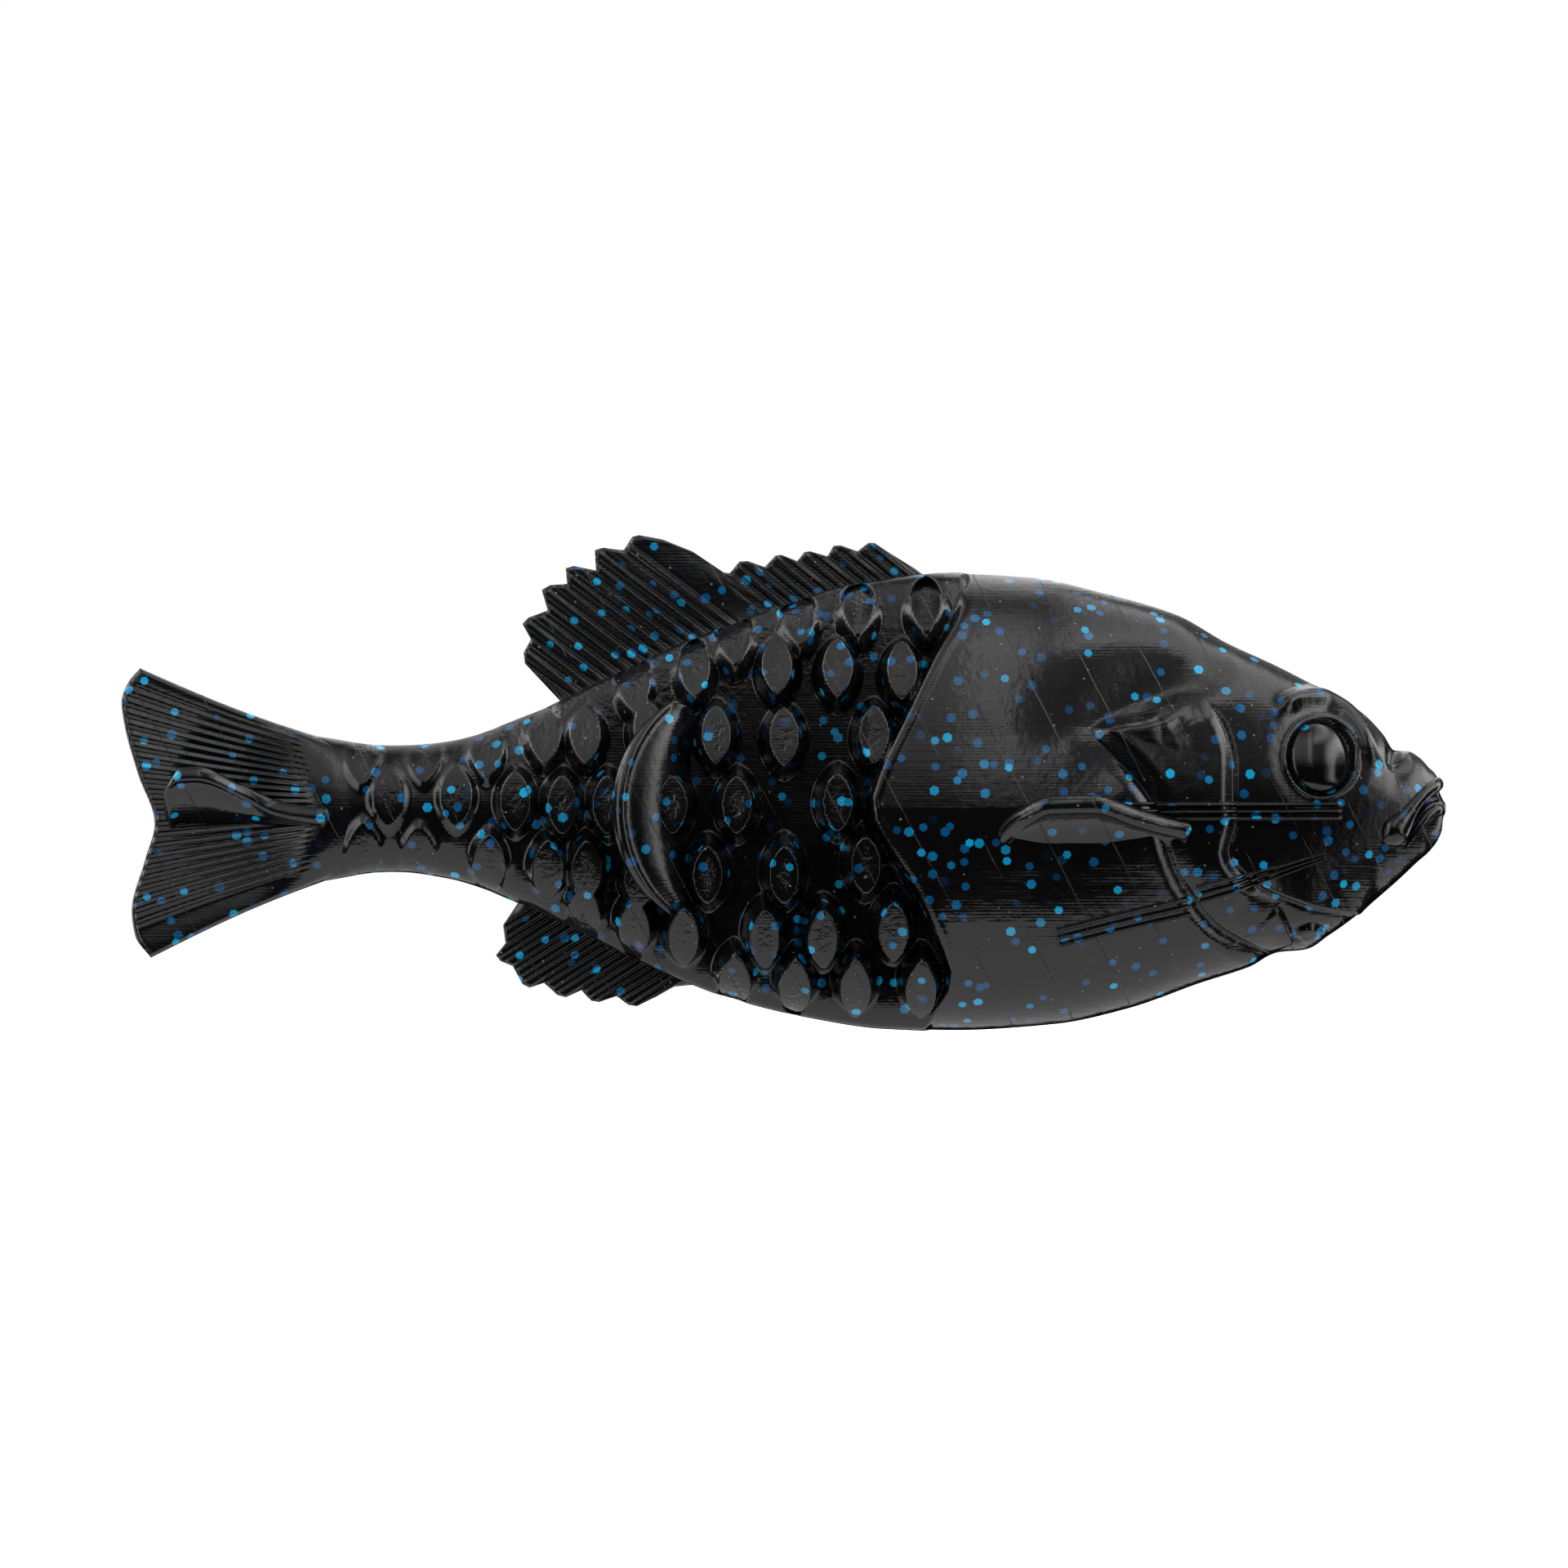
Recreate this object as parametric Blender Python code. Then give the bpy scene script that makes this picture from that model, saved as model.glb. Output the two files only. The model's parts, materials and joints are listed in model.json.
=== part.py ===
"""Soft-plastic sunfish swimbait, swimming upright.

Frame: metres, +X to the nose, +Z to the back, the nose tip at the origin and Y = 0 the plane of symmetry.
Sizes below are in millimetres and are turned into metres where meshes are made.
"""

from math import cos, pi, radians, sin, tan

import bmesh
import bpy
from mathutils import Matrix, Vector

MM = 0.001

# Overall sizes
BODY_LENGTH = 91.2
BODY_DEPTH = 38.0
BODY_WIDTH = 21.6
TAIL_LENGTH = 18.7

# The moulded outline, nose to tail root: (station, back, belly, flank, core flank). The station is a
# share of the body's length, the back and belly are shares of its depth, and flanks are shares of its width.
STATIONS = [
    (0.000, 0.013, 0.013, 0.02, 0.02),
    (0.022, 0.105, 0.108, 0.12, 0.06),
    (0.055, 0.158, 0.178, 0.185, 0.10),
    (0.110, 0.255, 0.287, 0.275, 0.15),
    (0.175, 0.337, 0.342, 0.352, 0.20),
    (0.260, 0.437, 0.418, 0.435, 0.25),
    (0.350, 0.492, 0.471, 0.485, 0.28),
    (0.440, 0.513, 0.487, 0.500, 0.28),
    (0.530, 0.486, 0.476, 0.468, 0.26),
    (0.610, 0.429, 0.444, 0.412, 0.23),
    (0.700, 0.352, 0.374, 0.338, 0.20),
    (0.770, 0.268, 0.295, 0.282, 0.185),
    (0.835, 0.200, 0.216, 0.232, 0.176),
    (0.910, 0.145, 0.153, 0.185, 0.157),
    (1.000, 0.145, 0.147, 0.157, 0.144),
]

# Flex joints: stations of the upright hinge lines, and the bend to each side in degrees
SHOULDER_STATION, SHOULDER_BEND = 0.498, 5.0
MIDDLE_STATION, MIDDLE_BEND = 0.681, 12.0
STEM_STATION, STEM_BEND = 0.8365, 12.0
TAIL_STATION, TAIL_BEND = 1.000, 25.0
JOINT_GAP = 0.4

# The thick front body ends in an arrow edge that points to the tail
ARROW_TIP_STATION = 0.524
ARROW_SETBACK = 9.5
ARROW_TIP_BLUNTING = 1.2

# Pegs, or scale posts: upright pointed ovals that stand on the slim core
PEG_WIDTH = 2.7
PEG_HEIGHT = 5.2
PEG_FLARE = 1.12
PEG_ROOT = 1.4
PEG_LEAN = 0.5
PEG_OVERHANG = 0.9
PEG_SIDES = 8
STEM_PEG_RELIEF = 0.7
# (height as a share of the depth, stations of the pegs in that row)
PEG_ROWS = {
    "fore_core": [
        (0.444, [0.473, 0.535, 0.589, 0.647]),
        (0.310, [0.504, 0.557, 0.610]),
        (0.161, [0.536, 0.602, 0.658]),
        (0.018, [0.553, 0.644]),
        (-0.137, [0.534, 0.602, 0.658]),
        (-0.271, [0.512, 0.567, 0.619]),
        (-0.397, [0.482, 0.537, 0.592, 0.647]),
    ],
    "aft_core": [
        (0.300, [0.702, 0.740]),
        (0.161, [0.738, 0.778, 0.813]),
        (0.018, [0.762, 0.803]),
        (-0.137, [0.740, 0.778, 0.813]),
        (-0.271, [0.702, 0.740, 0.784]),
    ],
    "tail_stem": [
        (0.150, [0.871]),
        (0.018, [0.857, 0.903, 0.960]),
        (-0.137, [0.870]),
    ],
}

# Eyes and gill covers
EYE_STATION = 0.116
EYE_HEIGHT_SHARE = 0.113
EYE_RADIUS = 2.8
EYE_BULGE = 1.5
SOCKET_DEPTH = 1.3
GILL_THICKNESS = 0.8
GILL_FRONT_TOP_STATION, GILL_FRONT_BOTTOM_STATION = 0.175, 0.135
GILL_REAR_TOP_STATION, GILL_REAR_BOTTOM_STATION = 0.325, 0.168
GILL_TOP_SHARE = 0.190
GILL_BOTTOM_SHARE = -0.300

# Lips: a rounded bead along each jaw, round the front of the snout
LIP_RADIUS = 0.75
UPPER_LIP_HEIGHT = 1.6
LOWER_LIP_HEIGHT = -1.0
LIP_CORNER_STATION = 0.062
UPPER_CORNER_DROP = 2.6
LOWER_CORNER_DROP = 2.4
LIP_STANDOFF = 0.9
SNOUT_SETBACK = 2 * LIP_RADIUS + LIP_STANDOFF

# Fins that stand in the plane of symmetry
FIN_THICKNESS = 1.3
FIN_GAP = 0.55
SPINE_COUNT = 5
SPINY_FRONT_STATION, SPINY_REAR_STATION = 0.482, 0.651
SPINY_FRONT_HEIGHT, SPINY_REAR_HEIGHT = 3.2, 4.9
SPINE_NOTCH = 0.9
SOFT_FRONT_STATION, SOFT_REAR_STATION = 0.664, 0.800
SOFT_HUB_STATION = 0.724
SOFT_RADIUS = 10.4
SOFT_TIPS = 6
SOFT_FIRST_ANGLE, SOFT_LAST_ANGLE = 95.0, 176.0
SOFT_NOTCH = 1.3
ANAL_FRONT_STATION, ANAL_REAR_STATION = 0.703, 0.843
ANAL_TIPS = 5
ANAL_LENGTH = 11.2
ANAL_DEPTH = 3.4
ANAL_REAR_DEPTH = 5.4
ANAL_NOTCH = 0.8

# Flaps that hang off the sides: each is a fin that a hinge line joins to the body
FLAP_THICKNESS = 1.2
FLAP_GAP = 0.3
FLAP_RISE = 45.0
PECTORAL_FRONT_STATION, PECTORAL_REAR_STATION = 0.238, 0.406
PECTORAL_HEIGHT_SHARE = -0.103
PECTORAL_REACH = 5.4
SIDE_FLAP_STATION = 0.693
SIDE_FLAP_HALF_HEIGHT = 8.2
SIDE_FLAP_REACH = 7.0
SIDE_FLAP_CHORD_ANGLE = 36.0
SIDE_FLAP_SPREAD = 38.0
TAIL_FLAP_INSET = 1.4
TAIL_FLAP_LENGTH = 13.4
TAIL_FLAP_HEIGHT = -0.9
TAIL_FLAP_REACH = 6.2

# Tail fin
TAIL_ROOT_BLEND = 7.0
TAIL_THICKNESS = 1.6
TAIL_UPPER_TIP = 11.6
TAIL_LOWER_TIP = 12.5
TAIL_NOTCH_DEPTH = 2.8
TAIL_NOTCH_HEIGHT = -1.4

SEGMENTS = 28

COLOURS = {
    "black_plastic": (0.012, 0.012, 0.014, 1.0),
    "black_fin_plastic": (0.016, 0.017, 0.020, 1.0),
    "black_eye_plastic": (0.008, 0.008, 0.010, 1.0),
}


def clear_scene():
    for old in list(bpy.data.objects):
        bpy.data.objects.remove(old)


def collection(name):
    made = bpy.data.collections.new(name)
    bpy.context.scene.collection.children.link(made)
    return made


def plastic(name, colour, roughness):
    made = bpy.data.materials.new(name)
    made.use_nodes = True
    shader = made.node_tree.nodes["Principled BSDF"]
    shader.inputs["Base Color"].default_value = colour
    shader.inputs["Roughness"].default_value = roughness
    shader.inputs["Metallic"].default_value = 0.0
    return made


def smooth_between(station, column):
    """A smooth curve through one column of the stations."""
    last = len(STATIONS) - 1
    station = min(max(station, 0.0), 1.0)
    i = max(k for k in range(last) if STATIONS[k][0] <= station)
    x0, y0 = STATIONS[i][0], STATIONS[i][column]
    x1, y1 = STATIONS[i + 1][0], STATIONS[i + 1][column]
    before, after = STATIONS[max(i - 1, 0)], STATIONS[min(i + 2, last)]
    slope0 = (y1 - before[column]) / (x1 - before[0])
    slope1 = (after[column] - y0) / (after[0] - x0)
    t = (station - x0) / (x1 - x0)
    width = x1 - x0
    rise = y1 - y0
    a = slope0 * width - rise
    b = rise - slope1 * width
    return y0 + t * rise + t * (1 - t) * (a * (1 - t) + b * t)


def back(x):
    return smooth_between(-x / BODY_LENGTH, 1) * BODY_DEPTH


def belly(x):
    return smooth_between(-x / BODY_LENGTH, 2) * BODY_DEPTH


def flank(x):
    return smooth_between(-x / BODY_LENGTH, 3) * BODY_WIDTH


def core_flank(x):
    return smooth_between(-x / BODY_LENGTH, 4) * BODY_WIDTH


def at(station):
    return -station * BODY_LENGTH


def flank_at(x, z, width):
    """How far out the surface of that width lies at x and height z."""
    half = back(x) if z >= 0 else belly(x)
    share = min(abs(z) / half, 0.999)
    return width(x) * (1 - share**2) ** 0.5


def outward(x, z, width):
    """The surface's outward direction on the +Y side."""
    step = 0.2
    along = (flank_at(x + step, z, width) - flank_at(x - step, z, width)) / (2 * step)
    up = (flank_at(x, z + step, width) - flank_at(x, z - step, width)) / (2 * step)
    return Vector((-along, 1.0, -up)).normalized()


def finish(name, mesh, slot, pivot=(0.0, 0.0, 0.0)):
    """An object with its origin at the pivot, from a mesh in world millimetres."""
    origin = Vector(pivot)
    mesh.transform(Matrix.Scale(MM, 4) @ Matrix.Translation(-origin))
    made = bpy.data.objects.new(name, mesh)
    made.location = origin * MM
    made.data.materials.append(MATERIALS[slot])
    PARTS.objects.link(made)
    return made


def loft(name, front, rear, width, rings):
    """A closed solid between two end surfaces. front and rear give x for a point (y, z) of the end."""
    bm = bmesh.new()
    half = SEGMENTS // 2
    angles = [pi / 2 + 2 * pi * k / SEGMENTS for k in range(SEGMENTS)]

    def surface(x, angle):
        height = back(x) if sin(angle) >= 0 else belly(x)
        return width(x) * cos(angle), height * sin(angle)

    def end_x(edge, angle, x):
        for _ in range(12):
            x = 0.5 * (x + edge(*surface(x, angle)))
        return x

    starts = [end_x(front, a, front(0.0, 0.0)) for a in angles]
    ends = [end_x(rear, a, rear(0.0, 0.0)) for a in angles]
    grid = []
    for ring in range(rings + 1):
        share = ring / rings
        row = []
        for a, x0, x1 in zip(angles, starts, ends):
            x = x0 + (x1 - x0) * share
            row.append(bm.verts.new((x, *surface(x, a))))
        grid.append(row)
    for ahead, behind in zip(grid, grid[1:]):
        for k in range(SEGMENTS):
            n = (k + 1) % SEGMENTS
            bm.faces.new((ahead[k], ahead[n], behind[n], behind[k]))
    for row, edge in ((grid[0], front), (grid[-1], rear)):
        middle = [row[0]]
        for k in range(1, half):
            z = row[k].co.z
            middle.append(bm.verts.new((edge(0.0, z), 0.0, z)))
        middle.append(row[half])
        for k in range(half):
            left = [row[k], row[k + 1], middle[k + 1], middle[k]]
            right = [row[-k], middle[k], middle[k + 1], row[-k - 1]]
            for corners in (left, right):
                bm.faces.new(list(dict.fromkeys(corners)))
    bmesh.ops.recalc_face_normals(bm, faces=bm.faces)
    mesh = bpy.data.meshes.new(name)
    bm.to_mesh(mesh)
    bm.free()
    return mesh


def behind_hinge(station, bend):
    """The end surface of the piece behind a flex joint: a blunt prow that lets it bend."""
    slope = tan(radians(bend) / 2)
    return lambda y, z: at(station) - JOINT_GAP / 2 - slope * abs(y)


def ahead_of_hinge(station, bend):
    slope = tan(radians(bend) / 2)
    return lambda y, z: at(station) + JOINT_GAP / 2 + slope * abs(y)


def arrow_edge(z):
    """x of the arrow edge at the front body's rear, at height z."""
    half = BODY_DEPTH / 2
    reach = ((abs(z) / half) ** 2 + (ARROW_TIP_BLUNTING / half) ** 2) ** 0.5
    return at(ARROW_TIP_STATION) + ARROW_SETBACK * (reach - ARROW_TIP_BLUNTING / half)


def cutter(name, mesh):
    mesh.transform(Matrix.Scale(MM, 4))
    made = bpy.data.objects.new(name, mesh)
    made.hide_render = True
    made.display_type = "WIRE"
    CUTTERS.objects.link(made)
    return made


def add_boolean(target, tool, operation):
    made = target.modifiers.new(operation.lower(), "BOOLEAN")
    made.operation = operation
    made.object = tool
    made.solver = "EXACT"
    made.use_self = operation == "UNION"


def peg(bm, x, z, side, relief):
    """One peg, from inside the core out to the moulded outline. Its end may pass the back or belly edge
    by the overhang, and no more."""
    edge = (back(x) if z >= 0 else belly(x)) - (PEG_HEIGHT / 2 - PEG_OVERHANG)
    z = min(max(z, -edge), edge)
    head_y = flank_at(x, z, flank)
    normal = outward(x, z, flank)
    normal.x = 0.0
    normal.z *= PEG_LEAN
    normal.normalize()
    foot_y = flank_at(x, z, core_flank)
    length = relief(head_y - foot_y) + PEG_ROOT
    head = Vector((x, foot_y + relief(head_y - foot_y), z))
    centre = head - normal * length / 2
    upright = (Vector((0, 0, 1)) - normal * normal.z).normalized()
    across = upright.cross(normal)
    basis = Matrix((across, upright, normal)).transposed().to_4x4()
    placed = Matrix.Translation(centre) @ basis
    shape = Matrix.Diagonal((PEG_WIDTH / 2, PEG_HEIGHT / 2, 1.0, 1.0))
    mirrored = Matrix.Diagonal((1.0, side, 1.0, 1.0))
    bmesh.ops.create_cone(
        bm,
        cap_ends=True,
        segments=PEG_SIDES,
        radius1=PEG_FLARE,
        radius2=1.0,
        depth=length,
        matrix=mirrored @ placed @ shape,
    )


def peg_field(name, relief):
    """All the pegs of one core section, both sides, as one tool to join to it."""
    bm = bmesh.new()
    for share, stations in PEG_ROWS[name]:
        for station in stations:
            for side in (-1, 1):
                peg(bm, at(station), share * BODY_DEPTH, side, relief)
    bmesh.ops.recalc_face_normals(bm, faces=bm.faces)
    mesh = bpy.data.meshes.new(name + "_pegs")
    bm.to_mesh(mesh)
    bm.free()
    return cutter(name + "_pegs", mesh)


def front_body():
    mesh = loft("front_body", lambda y, z: -SNOUT_SETBACK, lambda y, z: arrow_edge(z), flank, 20)
    made = finish("front_body", mesh, "black_plastic")
    for side in (-1, 1):
        add_boolean(made, eye_socket(side), "DIFFERENCE")
    return made


def eye_place(side):
    x, z = at(EYE_STATION), EYE_HEIGHT_SHARE * BODY_DEPTH
    normal = outward(x, z, flank)
    normal.y *= side
    return Vector((x, side * flank_at(x, z, flank), z)), normal


def eye_socket(side):
    place, normal = eye_place(side)
    bm = bmesh.new()
    turn = normal.to_track_quat("Z", "Y").to_matrix().to_4x4()
    bmesh.ops.create_cone(
        bm,
        cap_ends=True,
        segments=24,
        radius1=EYE_RADIUS + JOINT_GAP,
        radius2=EYE_RADIUS + JOINT_GAP,
        depth=2 * SOCKET_DEPTH,
        matrix=Matrix.Translation(place) @ turn,
    )
    mesh = bpy.data.meshes.new("eye_socket")
    bm.to_mesh(mesh)
    bm.free()
    return cutter("eye_socket_" + SIDE_NAMES[side], mesh)


def eye(side):
    """A domed eye that sits in its socket."""
    place, normal = eye_place(side)
    bm = bmesh.new()
    turn = normal.to_track_quat("Z", "Y").to_matrix().to_4x4()
    depth = (EYE_BULGE + SOCKET_DEPTH - JOINT_GAP) / 2
    centre = place + normal * (EYE_BULGE - depth)
    bmesh.ops.create_uvsphere(
        bm,
        u_segments=20,
        v_segments=10,
        radius=1.0,
        matrix=Matrix.Translation(centre) @ turn @ Matrix.Diagonal((EYE_RADIUS, EYE_RADIUS, depth, 1.0)),
    )
    bmesh.ops.recalc_face_normals(bm, faces=bm.faces)
    mesh = bpy.data.meshes.new("eye")
    bm.to_mesh(mesh)
    bm.free()
    mesh.shade_smooth()
    return finish("eye_" + SIDE_NAMES[side], mesh, "black_eye_plastic", place)


def gill_cover(side):
    """A curved plate over the gills: a patch of the flank, thickened outwards."""
    columns, rows = 7, 10
    bm = bmesh.new()
    sheets = []
    for lift in (JOINT_GAP, JOINT_GAP + GILL_THICKNESS):
        sheet = []
        for j in range(rows + 1):
            v = j / rows
            z = BODY_DEPTH * (GILL_TOP_SHARE + (GILL_BOTTOM_SHARE - GILL_TOP_SHARE) * v)
            front = at(GILL_FRONT_TOP_STATION + (GILL_FRONT_BOTTOM_STATION - GILL_FRONT_TOP_STATION) * v)
            rear = at(GILL_REAR_TOP_STATION + (GILL_REAR_BOTTOM_STATION - GILL_REAR_TOP_STATION) * v)
            row = []
            for i in range(columns + 1):
                x = front + (rear - front) * i / columns
                normal = outward(x, z, flank)
                point = Vector((x, flank_at(x, z, flank), z)) + normal * lift
                row.append(bm.verts.new((point.x, side * point.y, point.z)))
            sheet.append(row)
        sheets.append(sheet)
    inner, outer = sheets
    for j in range(rows):
        for i in range(columns):
            for sheet in sheets:
                bm.faces.new((sheet[j][i], sheet[j][i + 1], sheet[j + 1][i + 1], sheet[j + 1][i]))
    rim = [(0, i) for i in range(columns)] + [(j, columns) for j in range(rows)]
    rim += [(rows, i) for i in range(columns, 0, -1)] + [(j, 0) for j in range(rows, 0, -1)]
    for (j, i), (m, n) in zip(rim, rim[1:] + rim[:1]):
        bm.faces.new((inner[j][i], inner[m][n], outer[m][n], outer[j][i]))
    bmesh.ops.recalc_face_normals(bm, faces=bm.faces)
    mesh = bpy.data.meshes.new("gill_cover")
    bm.to_mesh(mesh)
    bm.free()
    return finish("gill_cover_" + SIDE_NAMES[side], mesh, "black_plastic")


def lip(name, front_height, drop):
    """A bead that runs from one corner of the mouth round the snout to the other."""
    corner_x = at(LIP_CORNER_STATION)
    front_x = -LIP_RADIUS
    stations = 12
    route = []
    for k in range(-stations, stations + 1):
        share = abs(k) / stations
        x = front_x + (corner_x - front_x) * share**2
        z = front_height - drop * share**2
        reach = flank_at(min(x, -SNOUT_SETBACK), z, flank) + LIP_RADIUS + LIP_STANDOFF
        spread = (1 - (1 - share) ** 2) ** 0.5
        route.append(Vector((x, (1 if k > 0 else -1) * reach * spread, z)))
    return tube(name, route, LIP_RADIUS)


def tube(name, route, radius):
    shape = bpy.data.curves.new(name, "CURVE")
    shape.dimensions = "3D"
    shape.bevel_depth = radius * MM
    shape.bevel_resolution = 2
    shape.use_fill_caps = True
    line = shape.splines.new("POLY")
    line.points.add(len(route) - 1)
    origin = route[len(route) // 2]
    for point, place in zip(line.points, route):
        point.co = (*((place - origin) * MM), 1.0)
    made = bpy.data.objects.new(name, shape)
    made.location = origin * MM
    shape.materials.append(MATERIALS["black_plastic"])
    PARTS.objects.link(made)
    return made


def flat_fin(name, outline, thickness, basis, slot):
    """A flat fin. The outline is in the fin's own plane, from its hinge line; the basis places that plane."""
    shape = bpy.data.curves.new(name, "CURVE")
    shape.dimensions = "2D"
    shape.fill_mode = "BOTH"
    shape.extrude = thickness / 2 * MM
    line = shape.splines.new("POLY")
    line.use_cyclic_u = True
    line.points.add(len(outline) - 1)
    for point, (u, v) in zip(line.points, outline):
        point.co = (u * MM, v * MM, 0.0, 1.0)
    made = bpy.data.objects.new(name, shape)
    made.matrix_world = basis
    shape.materials.append(MATERIALS[slot])
    PARTS.objects.link(made)
    return made


def upright_plane(x, z):
    """The plane of symmetry, with its origin at x and z: u runs to the nose and v to the back."""
    return Matrix.Translation(Vector((x, 0, z)) * MM) @ Matrix.Rotation(pi / 2, 4, "X")


def root_line(front, rear, edge, sign):
    """(x, z) of both ends of a fin's hinge line, clear of the core's edge between them."""
    x0, x1 = at(front), at(rear)
    z0, z1 = edge(x0), edge(x1)
    bulge = 0.0
    for k in range(21):
        share = k / 20
        chord = z0 + (z1 - z0) * share
        bulge = max(bulge, edge(x0 + (x1 - x0) * share) - chord)
    lift = bulge + FIN_GAP
    return (x0, sign * (z0 + lift)), (x1, sign * (z1 + lift))


def fin_on(name, outline):
    """A fin in the plane of symmetry from an outline in x and z, hinged on its first point."""
    x0, z0 = outline[0]
    local = [(x - x0, z - z0) for x, z in outline]
    return flat_fin(name, local, FIN_THICKNESS, upright_plane(x0, z0), "black_fin_plastic")


def spiny_dorsal():
    """The front back fin: a row of spines, each with a notch behind it."""
    front, rear = root_line(SPINY_FRONT_STATION, SPINY_REAR_STATION, back, 1)
    edge = [rear, front]
    for k in range(SPINE_COUNT):
        share = (k + 1) / SPINE_COUNT
        height = SPINY_FRONT_HEIGHT + (SPINY_REAR_HEIGHT - SPINY_FRONT_HEIGHT) * share
        tip = 0.25 + 0.70 * k / (SPINE_COUNT - 1)
        notch = min(tip + 0.06, 1.0)
        for place, cut in ((tip, 0.0), (notch, SPINE_NOTCH)):
            x = front[0] + (rear[0] - front[0]) * place
            z = front[1] + (rear[1] - front[1]) * place
            edge.append((x, z + height - FIN_GAP - cut))
    return fin_on("spiny_dorsal", edge)


def soft_dorsal():
    """The rear back fin: its trailing edge is a toothed arc about a hub on the back."""
    front, rear = root_line(SOFT_FRONT_STATION, SOFT_REAR_STATION, back, 1)
    hub = Vector((at(SOFT_HUB_STATION), back(at(SOFT_HUB_STATION))))
    edge = [rear, front, (front[0], front[1] + 4.0)]
    step = (SOFT_LAST_ANGLE - SOFT_FIRST_ANGLE) / (SOFT_TIPS - 1)
    for k in range(SOFT_TIPS):
        tip = radians(SOFT_FIRST_ANGLE + step * k)
        edge.append(tuple(hub + SOFT_RADIUS * Vector((cos(tip), sin(tip)))))
        if k < SOFT_TIPS - 1:
            notch = tip + radians(step * 0.35)
            edge.append(tuple(hub + (SOFT_RADIUS - SOFT_NOTCH) * Vector((cos(notch), sin(notch)))))
    return fin_on("soft_dorsal", edge)


def anal_fin():
    """The belly fin, with a toothed lower edge."""
    front, rear = root_line(ANAL_FRONT_STATION, ANAL_REAR_STATION, belly, -1)
    edge = [rear, front]
    for k in range(ANAL_TIPS):
        share = k / (ANAL_TIPS - 1)
        x = front[0] - 2.6 - ANAL_LENGTH * share
        fall = ANAL_DEPTH + (ANAL_REAR_DEPTH - ANAL_DEPTH) * share
        line = front[1] + (rear[1] - front[1]) * (front[0] - x) / (front[0] - rear[0])
        edge.append((x, line - fall + FIN_GAP))
        if k < ANAL_TIPS - 1:
            edge.append((x - 1.2, line - fall + FIN_GAP + ANAL_NOTCH))
    edge.append((rear[0] - 1.1, rear[1] - 1.6))
    return fin_on("anal_fin", edge)


def rising_plane(start, end, side, rise):
    """A plane hinged on the line from start to end: u runs along it, v rises outwards on that side."""
    along = (end - start).normalized()
    out = Vector((0.0, side * cos(radians(rise)), sin(radians(rise))))
    out = (out - along * along.dot(out)).normalized()
    normal = along.cross(out)
    basis = Matrix((along, out, normal)).transposed().to_4x4()
    return Matrix.Translation(start * MM) @ basis


def pectoral_fin(side):
    """The flap behind the gills: a curled fin that rises outwards from a level root."""
    z = PECTORAL_HEIGHT_SHARE * BODY_DEPTH
    x0, x1 = at(PECTORAL_FRONT_STATION), at(PECTORAL_REAR_STATION)
    y0, y1 = flank_at(x0, z, flank), flank_at(x1, z, flank)
    bulge = 0.0
    for k in range(21):
        share = k / 20
        bulge = max(bulge, flank_at(x0 + (x1 - x0) * share, z, flank) - (y0 + (y1 - y0) * share))
    lift = bulge + FLAP_THICKNESS / 2 + FLAP_GAP
    start = Vector((x1, side * (y1 + lift), z))
    end = Vector((x0, side * (y0 + lift), z))
    length = (end - start).length
    shape = [(0.0, 0.0), (1.0, 0.0), (1.0, 0.24), (0.74, 0.62), (0.48, 0.98), (0.26, 0.96), (0.11, 0.66)]
    outline = [(u * length, v * PECTORAL_REACH) for u, v in shape]
    name = "pectoral_fin_" + SIDE_NAMES[side]
    basis = rising_plane(start, end, side, FLAP_RISE)
    return flat_fin(name, outline, FLAP_THICKNESS, basis, "black_fin_plastic")


def side_flap(side):
    """The round flap on the middle of the body: a disc segment, rooted on the core at its front."""
    x = at(SIDE_FLAP_STATION)
    y = side * (core_flank(x) + FLAP_THICKNESS / 2 + FLAP_GAP)
    steps = 12
    outline = []
    first = radians(SIDE_FLAP_CHORD_ANGLE)
    for k in range(steps + 1):
        angle = first + (pi - 2 * first) * k / steps
        reach = SIDE_FLAP_REACH * (sin(angle) - sin(first)) / (1 - sin(first))
        outline.append((SIDE_FLAP_HALF_HEIGHT * cos(angle), reach))
    along = Vector((0.0, 0.0, 1.0))
    spread = radians(SIDE_FLAP_SPREAD)
    out = Vector((-cos(spread), side * sin(spread), 0.0))
    basis = Matrix((along, out, along.cross(out))).transposed().to_4x4()
    basis = Matrix.Translation(Vector((x, y, 0.0)) * MM) @ basis
    name = "side_flap_" + SIDE_NAMES[side]
    return flat_fin(name, outline, FLAP_THICKNESS, basis, "black_fin_plastic")


def tail_side(x):
    """Half the tail fin's thickness at x: the stem's at its root, easing to the blade's."""
    share = min(max((at(TAIL_STATION) - x) / TAIL_ROOT_BLEND, 0.0), 1.0)
    ease = share * share * (3 - 2 * share)
    return core_flank(at(TAIL_STATION)) * (1 - ease) + TAIL_THICKNESS / 2 * ease


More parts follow.
